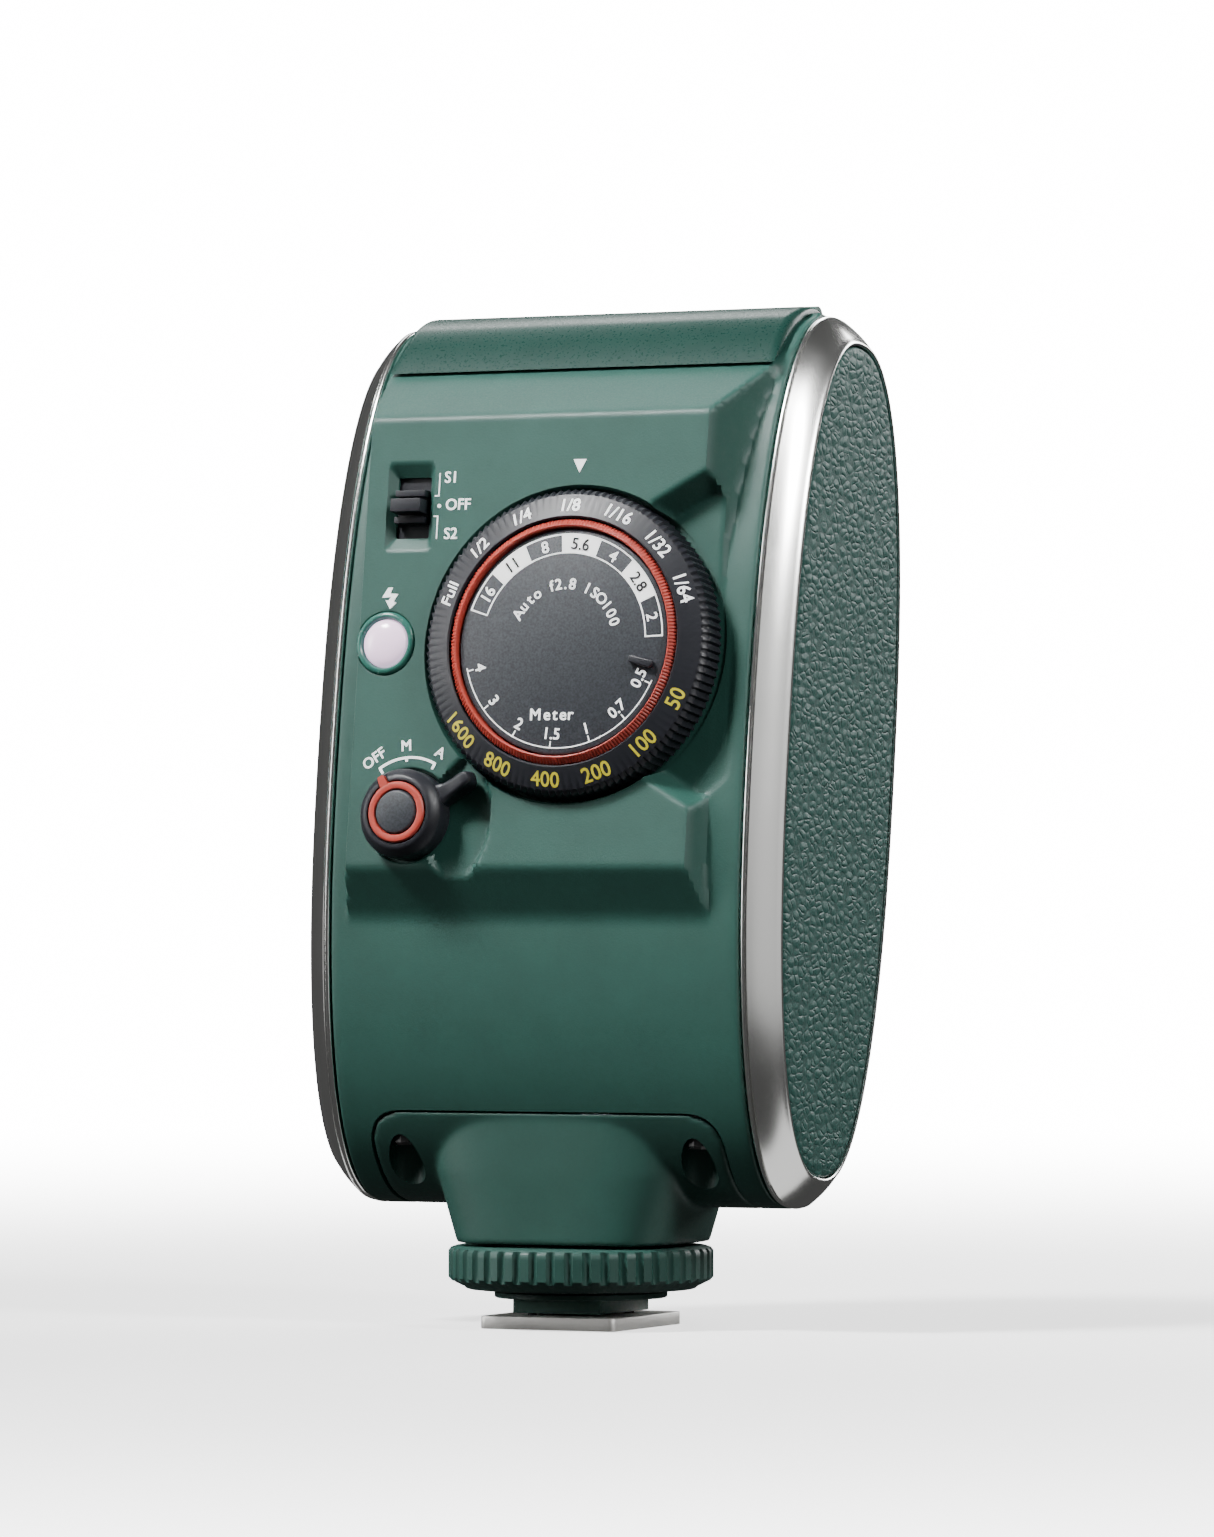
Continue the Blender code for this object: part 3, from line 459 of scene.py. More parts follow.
def tube(radius, low, high, axis="Z", centre=(0, 0), sides=64):
    """A cylinder along an axis; centre holds the two other coordinates."""
    mesh = revolve([(0, high), (radius, high), (radius, low), (0, low)], sides)
    if axis == "Y":
        mesh.transform(Matrix.Translation((centre[0], 0, centre[1])) @ Matrix.Rotation(-math.pi / 2, 4, "X"))
    elif axis == "X":
        mesh.transform(Matrix.Translation((0, *centre)) @ Matrix.Rotation(math.pi / 2, 4, "Y"))
    else:
        mesh.transform(Matrix.Translation((*centre, 0)))
    return mesh


def moved(mesh, matrix):
    mesh.transform(matrix)
    return mesh


def merged(meshes):
    """Several meshes as one."""
    shape = bmesh.new()
    for mesh in meshes:
        shape.from_mesh(mesh)
    made = bpy.data.meshes.new("merged")
    shape.to_mesh(made)
    shape.free()
    return made


def evaluated(mesh, *steps):
    """The mesh after modifiers, each given as (type, settings)."""
    holder = bpy.data.objects.new("holder", mesh)
    bpy.context.scene.collection.objects.link(holder)
    for kind, settings in steps:
        step = holder.modifiers.new(kind, kind)
        for key, value in settings.items():
            setattr(step, key, value)
    graph = bpy.context.evaluated_depsgraph_get()
    made = bpy.data.meshes.new_from_object(holder.evaluated_get(graph))
    bpy.data.objects.remove(holder)
    return made


def combined(mesh, others, operation):
    """A Boolean of one mesh with each of the others in turn."""
    for other in others:
        helper = bpy.data.objects.new("helper", other)
        bpy.context.scene.collection.objects.link(helper)
        mesh = evaluated(mesh, ("BOOLEAN", {"operation": operation, "object": helper}))
        bpy.data.objects.remove(helper)
    return mesh


def cut(mesh, *others):
    return combined(mesh, others, "DIFFERENCE")


def join(mesh, *others):
    return combined(mesh, others, "UNION")


def keep(mesh, *others):
    return combined(mesh, others, "INTERSECT")


def bevelled(mesh, width, segments=3, angle=40):
    limit = {"limit_method": "ANGLE", "angle_limit": math.radians(angle)}
    return evaluated(mesh, ("BEVEL", {"width": width, "segments": segments, **limit}))


def piece(name, mesh, material, body, replaces=(), space=HOUSING, sharp=32):
    """Puts a finished mesh on a body, in place of the CAD nodes it stands for."""
    mesh.transform(space)
    mesh.shade_smooth()
    mesh.set_sharp_from_angle(angle=math.radians(sharp))
    made = bpy.data.objects.new(name, mesh)
    bpy.context.scene.collection.objects.link(made)
    made.data.materials.clear()
    made.data.materials.append(material)
    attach(made, body)
    if replaces:
        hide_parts(*replaces)
    return made


def oval(half_depth, half_height, start=0.0, stop=360.0, count=192):
    """Points of the side oval in y and z, from one angle to another; 0 is the front and 90 the top."""
    full = abs(stop - start) >= 360
    points = []
    for i in range(count if full else count + 1):
        angle = math.radians(start + (stop - start) * i / count)
        c, s = math.cos(angle), math.sin(angle)
        y = math.copysign(abs(c) ** (2 / OVAL_POWER), c) * half_depth
        z = math.copysign(abs(s) ** (2 / OVAL_POWER), s) * half_height
        points.append((y, z))
    return points


def inset_oval(inset, **span):
    return oval(HALF_DEPTH - inset, HALF_HEIGHT - inset, **span)


# ---- housing

def soft_min(a, b, reach):
    share = np.clip(0.5 + 0.5 * (b - a) / reach, 0, 1)
    return b * (1 - share) + a * share - reach * share * (1 - share)


def soft_max(a, b, reach):
    return -soft_min(-a, -b, reach)


def panel_height(x, z):
    """How far the control panel's plateau stands out of the housing's middle plane."""
    left, right, low, high = PANEL_EDGES
    base_left, base_right, base_low, base_high = PANEL_BASE_EDGES
    drop = PANEL_BASE - PANEL
    sides = (
        ((x - left), (left - base_left)),
        ((right - x), (base_right - right)),
        ((z - low), (low - base_low)),
        ((high - z), (base_high - high)),
    )
    height = np.full(x.shape, -PANEL)
    for inside, run in sides:
        slope = drop / run
        height = soft_min(height, -PANEL + slope * inside, 0.42 * min(slope, 1.6))
    return height


def scallop_height(x, z):
    """Finger scallop at the dial's side: a flat floor inside an outline, with sloping walls."""
    depth = np.full(x.shape, -99.0)
    for (ax, az), (bx, bz) in zip(SCALLOP, SCALLOP[1:] + SCALLOP[:1]):
        length = math.hypot(bx - ax, bz - az)
        outside = ((x - ax) * (az - bz) + (z - az) * (bx - ax)) / length
        depth = soft_max(depth, outside, 0.9)
    wall = np.maximum(depth, 0) * 1.5
    return -SCALLOP_FLOOR + wall


def lever_recess_height(x, z):
    """Sector beside the mode knob in which the lever's tip swings."""
    across, up = x - MODE[0], z - MODE[1]
    depth = np.hypot(across, up) - LEVER_ROOM
    for side, angle in ((1, math.radians(44)), (-1, math.radians(57))):
        depth = soft_max(depth, side * up * math.cos(angle) - across * math.sin(angle), 0.3)
    return -PANEL - 0.8 + np.clip(depth * 2.4 + 0.1, 0, None)


def rear_shell():
    """Rear half of the housing, its panel blended softly into the oval, as a closed solid."""
    side = np.array(inset_oval(0, start=90.6, stop=269.4, count=900))
    steps = np.concatenate([[0], np.cumsum(np.hypot(*np.diff(side, axis=0).T))])
    spots = np.linspace(0, steps[-1], 300)
    depth = -np.interp(spots, steps, side[:, 0])
    height = np.interp(spots, steps, side[:, 1])
    flank = HALF_WIDTH - EDGE_ROUND * np.array([0, 0.02, 0.1, 0.3, 0.6, 1.0])
    across = np.concatenate([-flank, np.linspace(1 - flank[-1], flank[-1] - 1, 130), flank[::-1]])
    x, z = np.meshgrid(across, height)
    level = np.repeat(depth[:, None], len(across), axis=1)
    level = soft_max(level, panel_height(x, z), 0.5)
    near = (z < 36) & (z > -14)
    level = np.where(near, soft_min(level, scallop_height(x, z), 0.4), level)
    near = (x < -3) & (z < 4) & (z > -26)
    level = np.where(near, np.minimum(level, lever_recess_height(x, z)), level)
    past = np.clip(np.abs(x) - (HALF_WIDTH - EDGE_ROUND), 0, EDGE_ROUND)
    level = level - (EDGE_ROUND - np.sqrt(EDGE_ROUND**2 - past**2))
    level = np.maximum(level, SPLIT + 0.01)
    rows = []
    for r in range(len(height)):
        row = [(across[0], -SPLIT, height[r])]
        row += [(across[i], -level[r, i], height[r]) for i in range(len(across))]
        row.append((across[-1], -SPLIT, height[r]))
        rows.append(row)
    return skin(rows)


def pedestal_outline(margin):
    top = oval(HALF_DEPTH, HALF_HEIGHT, start=PLATE_START, stop=PLATE_START + 1)[0][1] + margin
    half = PEDESTAL_HALF_WIDTH + margin
    return rectangle(-half, half, -90, top, PEDESTAL_CORNER, 8)


def pedestal_room():
    """The space that the pedestal's plate takes out of the housing's underside."""
    outline = inset_oval(2.5, start=PLATE_START - 3, stop=PLATE_STOP + 1, count=80)
    outline += inset_oval(-4, start=PLATE_STOP + 1, stop=PLATE_START - 3, count=80)
    ring = slab(outline, -PEDESTAL_HALF_WIDTH - 2, PEDESTAL_HALF_WIDTH + 2)
    return keep(ring, prism(pedestal_outline(SEAM), -40, 40))


def dial_pocket():
    """The dial's round pocket, flared a little at its mouth."""
    radius = DIAL_RADIUS + 0.5
    profile = [
        (0, 8), (radius + 2.4, 8), (radius + 0.35, 0.12), (radius, -0.4), (radius, -DIAL_POCKET_DEPTH),
        (0, -DIAL_POCKET_DEPTH),
    ]
    return moved(revolve(profile, 192), outward(DIAL))


def flared_hole(radius, lip, reach, spot):
    """A round hole in the panel with a rounded mouth."""
    profile = [(0, 6), (radius + lip, 6)]
    for turn in np.linspace(0, math.pi / 2, 6):
        profile.append((radius + lip * (1 - math.sin(turn)), -lip * (1 - math.cos(turn))))
    profile += [(radius, -reach), (0, -reach)]
    return moved(revolve(profile, 96), outward(spot))


def slider_window():
    """The slider's opening, whose walls slope in to its slot."""
    rows = []
    for depth, wide, tall, corner in (
        (-2.0, 3.5, 6.0, 1.1), (-0.12, 3.5, 5.95, 1.1), (0.0, 3.27, 5.72, 0.95), (0.25, 3.05, 5.3, 0.8),
        (1.1, 2.3, 3.9, 0.3), (2.5, 2.25, 3.85, 0.25),
    ):
        outline = rectangle(-wide, wide, -tall, tall, corner)
        rows.append([(SLIDER[0] + x, PANEL + depth, SLIDER[1] + z) for x, z in outline])
    return skin(rows)


def rear_casing():
    shell = rear_shell()
    hollow = inset_oval(WALL, start=90, stop=270, count=96)
    hollow = [(2, HALF_HEIGHT - WALL)] + hollow + [(2, WALL - HALF_HEIGHT)]
    core = PANEL + 2.1
    inside = [
        slab(hollow, WALL - HALF_WIDTH, HALF_WIDTH - WALL),
        box((-22.8, PANEL + 1.45, 22.2), (-14.2, -16, 36.3)),
        box((-24.0, core, 7.8), (-17.6, -16, 15.6)),
    ]
    holes = [
        dial_pocket(),
        flared_hole(MODE_RADIUS + 0.35, 0.25, 0.8, MODE),
        slider_window(),
        flared_hole(4.1, 0.12, 0.4, BUTTON),
        pedestal_room(),
    ]
    deeper = [
        tube(3.8, -30, -10, "Y", DIAL),
        tube(1.8, -30, -10, "Y", MODE),
        tube(BUTTON_RADIUS + 0.3, -30, -19, "Y", BUTTON),
    ]
    shell = cut(shell, *inside, *holes, *deeper)
    piece("rear_casing_shell", shell, GREEN, "housing", ["rear_casing"], sharp=38)


def front_chassis():
    front = [p for p in inset_oval(0, start=-90, stop=90) if p[0] > SPLIT]
    front = [(SPLIT, -HALF_HEIGHT)] + front + [(SPLIT, HALF_HEIGHT)]
    chassis = bevelled(slab(front, -HALF_WIDTH, HALF_WIDTH), 0.35, 3, 60)
    chassis = cut(
        chassis,
        box((-BAY_HALF_WIDTH, BAY_FLOOR, BAY_LOW), (BAY_HALF_WIDTH, 40, 70)),
        box((-BAY_HALF_WIDTH - 0.01, -1, 55.2), (BAY_HALF_WIDTH + 0.01, 40, 70)),
        box((-BAY_HALF_WIDTH + 0.01, 1.4, 53.6), (BAY_HALF_WIDTH - 0.01, 40, 70)),
        box((-22, -1, -50.5), (22, 4.5, -44.5)),
    )
    for side in (-1, 1):
        low, high = sorted((side * 17, side * 21))
        chassis = join(
            chassis,
            box((low, 0.5, 53), (high, 1.9, HINGE[1])),
            tube(KNUCKLE_RADIUS, low, high, "X", HINGE, 48),
        )
    chassis = cut(
        chassis,
        tube(HINGE_PIN_RADIUS + 0.3, -27, 27, "X", HINGE, 32),
        tube(1.1, -2, 4, "Y", (23, -36), 32),
        tube(1.1, -2, 4, "Y", (-23, -36), 32),
        tube(2.3, 3, 30, "Y", (0, SENSOR_HEIGHT), 48),
        prism(rectangle(-16.7, -7.3, -48.2, -44.6, 0.6), 3, 30),
        tube(2.3, 3, 30, "Y", (12, SENSOR_HEIGHT), 48),
        pedestal_room(),
    )
    piece("front_chassis_shell", chassis, GREEN, "housing", ["front_chassis"])


def smooth_line(points, count):
    """Points spread evenly along a curve through the given ones."""
    spots = np.array(points)
    run = np.concatenate([[0], np.cumsum(np.hypot(*np.diff(spots, axis=0).T))])
    even = np.linspace(0, run[-1], count)
    line = np.stack([np.interp(even, run, spots[:, i]) for i in (0, 1)], axis=1)
    for _ in range(6):
        line[1:-1] = (line[:-2] + 2 * line[1:-1] + line[2:]) / 4
    return line


def top_cap():
    """Ridge cover that bows out over the seam. Its outer line draws in round both ends."""
    inside = inset_oval(-GAP, start=LID_SPAN[0], stop=LID_SPAN[1], count=40) + [LID_FOOT]
    line = smooth_line(LID_OUTSIDE, 60)
    last = len(line) - 1
    ends = []
    for turn in np.linspace(0, math.pi / 2, 8):
        ends.append((LID_HALF_WIDTH - LID_ROUND * (1 - math.sin(turn)), LID_ROUND * (1 - math.cos(turn))))
    rows = []
    for x, inset in [(-x, inset) for x, inset in reversed(ends)] + ends:
        row = []
        for i, point in enumerate(line):
            inward = (Vector(LID_HEART) - Vector(point)).normalized() * inset * math.sin(math.pi * i / last)
            row.append((x, *(Vector(point) + inward)))
        rows.append(row + [(x, y, z) for y, z in inside])
    piece("top_cap_cover", skin(rows), GREEN_LID_SHADED, "housing", ["top_cap"], sharp=50)


def pedestal():
    """Underside plate and neck, grown together with a soft fillet."""
    outline = inset_oval(0, start=PLATE_START - 2, stop=PLATE_STOP, count=80)
    outline += inset_oval(5, start=PLATE_STOP, stop=PLATE_START - 2, count=80)
    shell = slab(outline, -PEDESTAL_HALF_WIDTH - 1, PEDESTAL_HALF_WIDTH + 1)
    shell = keep(shell, prism(pedestal_outline(0), -40, 40))
    rows = []
    for z, across, deep in NECK:
        row = []
        for i in range(144):
            c, s = math.cos(math.tau * i / 144), math.sin(math.tau * i / 144)
            x, y = math.copysign(abs(c) ** 0.5, c), math.copysign(abs(s) ** 0.5, s)
            row.append((across * x, 0.8 + deep * y, z))
        rows.append(row)
    neck = moved(skin(rows), HOUSING.inverted() @ WORLD)
    grown = evaluated(
        join(shell, neck),
        ("REMESH", {"mode": "VOXEL", "voxel_size": 0.32}),
        ("SMOOTH", {"factor": 0.6, "iterations": 10}),
    )
    x, y = PEDESTAL_SCREWS
    around = inset_oval(-GAP, start=PLATE_STOP + 0.7, stop=PLATE_START + 357.3, count=120)
    around += inset_oval(2.2, start=PLATE_START - 2.7, stop=PLATE_STOP + 0.7, count=60)
    grown = cut(grown, slab(around, -40, 40))
    for side in (-1, 1):
        boss = moved(tube(3.0, 15, 26, centre=(side * x, y)), HOUSING.inverted() @ WORLD)
        grown = join(grown, keep(boss, slab(inset_oval(0.5), -40, 40)))
        ways = (tube(2.3, 5, 24.4, centre=(side * x, y)), tube(1.2, 20, 40, centre=(side * x, y)))
        grown = cut(grown, *[moved(way, HOUSING.inverted() @ WORLD) for way in ways])
    piece("pedestal_neck", grown, GREEN_SMOOTH_SHADED, "housing", ["pedestal"], sharp=50)


def side_trim(side, name):
    """Chromed bezel with a bright base lip, a groove and a convex slope, and its leather panel."""
    slope = []
    for t in np.linspace(0, 1, 9):
        bulge = 0.22 * math.sin(math.pi * t)
        across = 29.15 + (BEZEL_OUT - 0.25 - 29.15) * t + bulge * 0.7
        slope.append((across, 0.12 + (BEZEL_INSET - 0.3 - 0.12) * t - bulge * 0.3))
    profile = [(BEZEL_IN, 0.25), (28.4, 0.05), (28.6, 0.0), (28.8, 0.05), (28.9, 0.3), (29.0, 0.3)]
    profile += slope
    profile += [(32.42, 3.25), (BEZEL_OUT, 3.42), (BEZEL_OUT, 3.6), (32.42, 3.76), (32.2, 3.8), (30.2, 3.8)]
    rows = [[(side * x, y, z) for y, z in inset_oval(i)] for x, i in profile]
    bezel = skin(rows)
    piece(f"bezel_{name}_trim", bezel, CHROME, "housing", [f"bezel_{name}"], sharp=50)
    profile = [
        (30.5, 3.95), (32.0, 3.95), (32.22, 4.05), (32.36, 4.35), (32.42, 4.9), (32.46, 6.5), (32.48, 10),
        (32.5, 16),
    ]
    rows = [[(side * x, y, z) for y, z in inset_oval(i)] for x, i in profile]
    names = (f"leather_{name}_panel", [f"leather_{name}"])
    piece(names[0], skin(rows), LEATHER, "housing", names[1], sharp=60)


# ---- controls

def power_dial():
    """Selector ring: a fine saw-toothed wall under a shallow cone."""
    outer = [
        (15.6, 2.45), *CONE, (18.95, 1.55), (DIAL_RADIUS - 0.1, 1.15), (DIAL_RADIUS, 0.95),
        (DIAL_RADIUS, -2.6), (DIAL_RADIUS - 0.2, -2.8), (3.4, -2.8), (3.4, -9.2), (2.0, -9.2),
        (2.0, -1.0), (15.6, -1.0),
    ]

    def teeth(step, r, _):
        return -0.11 * (step % 4) if r > 18.9 else 0.0

    dial = revolve(outer, 120 * 4, closed=True, wave=teeth)
    piece("power_dial_ring", dial, BLACK, "dial", ["power_dial"], facing_out(DIAL), 28)


def calculator():
    """Disc with the scales, and its ridged grip ring."""
    space = facing_out(DIAL)
    disc = [
        (0, DISC_FACE), (13.85, DISC_FACE), (14.1, 2.1), (14.2, 1.9), (14.2, -0.6), (1.7, -0.6),
        (1.7, -9.6), (0, -9.6),
    ]
    disc = revolve(disc, 160)
    piece("calculator_disc_face", disc, GREY, "calculator", ["calculator_disc"], space)
    ring = [
        (14.4, 2.5), (14.46, 2.72), (14.6, 2.8), (14.75, 2.76), (15.38, 2.25), (15.45, 2.1),
        (15.45, -0.6), (14.4, -0.6),
    ]

    def ridges(step, r, z):
        return -0.16 * (step % 3 == 0) if r > 14.7 and z > 0 else 0.0

    grip = revolve(ring, 220 * 3, closed=True, wave=ridges)
    piece("calculator_grip_ring", grip, RED, "calculator", ["calculator_ring"], space, 24)


def mode_control():
    """Lever knob, its pointer ring and centre cap."""
    space = facing_out(MODE)
    knob = [
        (0, 2.5), (4.02, 2.5), (4.02, 3.2), (4.1, 3.3), (4.45, 3.3), (4.75, 3.15), (5.45, 2.35),
        (MODE_RADIUS, 1.95), (MODE_RADIUS, -0.4), (1.5, -0.4), (1.5, -9.2), (0, -9.2),
    ]
    rows = []
    for reach, half, low, high in (
        (3.0, 2.0, -0.4, 2.5), (4.6, 1.85, -0.4, 2.4), (5.6, 1.55, -0.4, 1.9), (6.6, 1.3, -0.4, 1.75),
        (7.8, 1.2, -0.4, 2.1), (9.0, 1.15, -0.35, 2.6), (9.9, 1.05, -0.1, 2.85), (10.35, 0.85, 0.25, 2.7),
        (LEVER_REACH, 0.5, 0.7, 2.2),
    ):
        section = [(-half, low), (half, low), (half * 0.8, high), (-half * 0.8, high)]
        rows.append([(reach, y, z) for y, z in rounded(section, 0.5, 5)])
    lever = moved(skin(rows), Matrix.Rotation(LEVER_ANGLE, 4, "Z"))
    notch = plate(rectangle(3.0, 6.4, -0.75, 0.75, 0.2), 2.5, 6)
    body = cut(join(revolve(knob, 96), lever), moved(notch, Matrix.Rotation(MODE_MARK_ANGLE, 4, "Z")))
    piece("mode_lever_knob", body, BLACK, "mode_lever", ["mode_lever"], space, 40)
    ring = [(2.88, 2.8), (2.88, 3.35), (3.0, 3.52), (3.35, 3.6), (3.7, 3.52), (3.84, 3.35), (3.84, 2.8)]
    index = revolve(ring[::-1], 96, closed=True)
    tab = [(3.3, -0.62), (4.6, -0.5), (5.1, -0.42), (5.1, 0.42), (4.6, 0.5), (3.3, 0.62)]
    pointer = moved(plate(rounded(tab, 0.2), 2.8, 3.5), Matrix.Rotation(MODE_MARK_ANGLE, 4, "Z"))
    index = join(index, pointer)
    piece("mode_index_pointer", index, RED, "mode_lever", ["mode_index_ring"], space)
    cap = [(0, 3.75), (2.3, 3.75), (2.6, 3.65), (2.76, 3.4), (2.78, 3.1), (2.78, 2.8), (0, 2.8)]
    piece("mode_cap_button", revolve(cap, 72), GREY, "mode_lever", ["mode_cap"], space)


def slider():
    """Thumb slider: three ribs on a block, on a plate that shuts the slot from behind."""
    x, z = SLIDER
    outline = [(-2.15, -1.6), (-2.15, -0.95)]
    for rise, half, reach in ((-1.7, 0.38, 0.15), (0.0, 0.82, 1.45), (1.7, 0.38, 0.15)):
        outline += [(rise - half - 0.05, -0.95), (rise - half, reach)]
        outline += [(rise + half, reach), (rise + half + 0.05, -0.95)]
    outline += [(2.15, -0.95), (2.15, -1.6)]
    knob = skin([[(x + u, PANEL - out, z + rise) for rise, out in outline] for u in (-2.05, 2.05)])
    shutter = box((x - 2.7, PANEL + 1.55, z - 5.1), (x + 2.7, PANEL + 1.95, z + 5.1))
    knob = join(bevelled(knob, 0.12, 3, 35), shutter)
    piece("slide_knob_grip", knob, BLACK, "slide_knob", ["slide_knob"])


def test_button():
    """Domed lens of the button, and the collar round it."""
    wide = BUTTON_RADIUS + 0.24
    dome = [(wide * math.sin(a), -0.3 + 1.2 * math.cos(a)) for a in np.linspace(0, math.pi / 2, 12)]
    profile = dome + [(wide, -0.45), (BUTTON_RADIUS, -0.45), (BUTTON_RADIUS, -2.0), (0, -2.0)]
    lens = revolve(profile, 96)
    piece("test_button_lens", lens, LIT, "test_button", ["test_button"], facing_out(BUTTON))
    rim = [
        (3.14, -0.45), (3.14, 0.0), (3.22, 0.2), (3.38, 0.34), (3.6, 0.36), (3.85, 0.24), (4.02, 0.0),
        (4.05, -0.35),
    ]
    collar = revolve(rim[::-1], 96, closed=True)
    piece("test_button_collar", collar, GREEN_GLOSS_LIT, "housing", (), facing_out(BUTTON))


# ---- foot

def lock_ring():
    """Nut with rounded ribs between its flutes."""
    inner = STEM_RADIUS + GAP
    profile = [
        (inner, 10.2), (RING_RADIUS - 0.9, 10.2), (RING_RADIUS - 0.3, 10.0), (RING_RADIUS, 9.6),
        (RING_RADIUS, 9.0), (RING_RADIUS, 7.0), (RING_RADIUS, 6.3), (RING_RADIUS - 0.4, 5.9), (14.7, 5.1),
        (14.5, 4.9), (14.2, 4.8), (inner, 4.8),
    ]

    def flutes(step, r, z):
        share = (step % 8) / 8
        return -0.5 * max(0.0, math.cos(math.tau * share)) ** 0.7 if r > 16.5 and z > 5.5 else 0.0

    ring = revolve(profile, RING_FLUTES * 8, closed=True, wave=flutes)
    piece("lock_ring_nut", ring, GREEN_SMOOTH_SHADED, "lock_ring", ["lock_ring"], WORLD, 40)


def foot():
    """Shoe plate, the block and stem above it, and the clamp washer that slides on the block."""
    x, y, thick = PLATE
    outline = rectangle(-x / 2, x / 2, -y / 2, y / 2, 0.9)
    shoe = bevelled(plate(outline, 0, thick), 0.12, 2, 60)
    ways = [tube(4.0, -5, 5)]
    for spot in FOOT_SCREWS:
        ways += [tube(1.5, -5, 1.2, centre=spot, sides=48), tube(0.9, -5, 5, centre=spot, sides=32)]
    piece("shoe_foot_plate", cut(shoe, *ways), NICKEL, "housing", ["shoe_plate"], WORLD)
    bx, by = BLOCK
    block = plate(rectangle(-bx / 2, bx / 2, -by / 2, by / 2, 0.4), thick + GAP, STEM_LOW + 1)
    stem = tube(STEM_RADIUS, STEM_LOW, NECK[0][0] - GAP, sides=128)
    stem = join(stem, bevelled(block, 0.1, 2, 60))
    ways = [tube(1.6, -1, 4.2, sides=32)]
    ways += [tube(0.9, -1, 7.5, centre=spot, sides=32) for spot in FOOT_SCREWS]
    stem = cut(stem, *ways)
    piece("foot_stem_block", stem, GREEN_SMOOTH_SHADED, "housing", ["foot_stem"], WORLD)
    washer = [(0, 4.5), (10.7, 4.5), (10.9, 4.35), (10.9, 3.85), (10.7, 3.7), (0, 3.7)]
    window = plate(rectangle(-bx / 2 - GAP, bx / 2 + GAP, -by / 2 - GAP, by / 2 + GAP, 0.4), 0, 9)
    disc = cut(revolve(washer, 128), window)
    piece("clamp_washer_disc", disc, GREEN_SMOOTH_SHADED, "clamp_washer", ["clamp_washer"], WORLD)


# ---- flash head

def head_cover():
    """Front door with its hinge knuckles."""
    inside = (HALF_DEPTH - HEAD_WALL, HEAD_HALF_HEIGHT - HEAD_WALL)
    outline = oval(HALF_DEPTH, HEAD_HALF_HEIGHT, start=HEAD_TOP_ANGLE, stop=HEAD_LOW_ANGLE, count=96)
    outline += oval(*inside, start=HEAD_LOW_ANGLE, stop=HEAD_TOP_ANGLE, count=96)
    cover = bevelled(slab(outline, -HEAD_HALF_WIDTH, HEAD_HALF_WIDTH), 0.4, 3, 55)
    for low, high in ((-25.3, -21.3), (-16.7, 16.7), (21.3, 25.3)):
        cover = join(cover, tube(KNUCKLE_RADIUS, low, high, "X", HINGE, 48))
    for low, high in ((-21.3, -16.7), (16.7, 21.3), (-27, -25.3), (25.3, 27)):
        cover = cut(cover, tube(3.4, low, high, "X", HINGE, 48))
    cover = cut(cover, tube(HINGE_PIN_RADIUS + 0.3, -40, 40, "X", HINGE, 32))
    piece("head_cover_door", cover, GREEN, "head", ["head_cover"])


def fan_leaf(number):
    """One dished blade with a pressed rib, on the ring that turns round the hub."""
    inner, ring = HUB_RADIUS + GAP, 7.6
    half = LEAF_WIDTH / 2

    def spot(radius, angle, lift=0.0):
        dish = FAN_DEPTH * (radius - inner) / (FAN_RADIUS - inner)
        return Vector((radius * math.cos(angle), radius * math.sin(angle), dish + lift))

    sector = [-math.pi / 2 - half + LEAF_WIDTH * i / 16 for i in range(17)]
    rest = [sector[-1] + (math.tau - LEAF_WIDTH) * i / 48 for i in range(1, 48)]
    full = sector + rest
    rows = [[spot(r, a) for a in full] for r in (inner, ring)]
    count = len(full)
    points = [p for row in rows for p in row]
    faces = [(i, (i + 1) % count, count + (i + 1) % count, count + i) for i in range(count)]
    blade = []
    for radius in np.linspace(ring, FAN_RADIUS, 14):
        fade = min(1.0, (radius - ring) / 6, (FAN_RADIUS - radius) / 3)
        ribs = [0.1 * fade * math.exp(-(((a + math.pi / 2) * radius / 1.3) ** 2)) for a in sector]
        blade.append([spot(radius, a, rib) for a, rib in zip(sector, ribs)])
    base = len(points)
    wide = len(sector)
    points += [p for row in blade for p in row]
    for r in range(len(blade) - 1):
        for i in range(wide - 1):
            a = base + r * wide + i
            faces.append((a, a + 1, a + 1 + wide, a + wide))
    skin_depth = {"thickness": LEAF_THICKNESS * 0.8, "offset": 0.0}
    mesh = evaluated(mesh_from(points, faces), ("SOLIDIFY", skin_depth))
    level = FIRST_LEAF - LEAF_PITCH * (number - 1)
    name = f"{number:02d}"
    piece(
        f"reflector_leaf_{name}", mesh, MIRROR, f"leaf_{name}", [f"fan_leaf_{name}"],
        facing_out((0, FAN_HUB), level), 50,
    )


def lamp():
    """Mirror behind the bare lamp, and the clear dome over it."""
    space = facing_front((0, FAN_HUB), 10.9)
    base = [(0, 0), (9.2, 0), (9.4, -0.2), (9.4, -1.4), (8.6, -2.6), (7.9, -2.6), (7.9, -1.2), (0, -1.2)]
    base = revolve(base[::-1], 96)
    piece("lamp_base_mirror", base, MIRROR, "head", ["lamp_base"], space)
    steps = [math.pi / 2 * i / 16 for i in range(17)]
    dome = [(6.8 * math.sin(a), -5.8 * math.cos(a)) for a in steps]
    dome += [(7.6 * math.sin(a), -6.6 * math.cos(a)) for a in steps[::-1]]
    space = facing_front((0, FAN_HUB), 9.4)
    piece("lamp_dome_cover", revolve(dome, 96), CLEAR, "head", ["lamp_dome"], space)


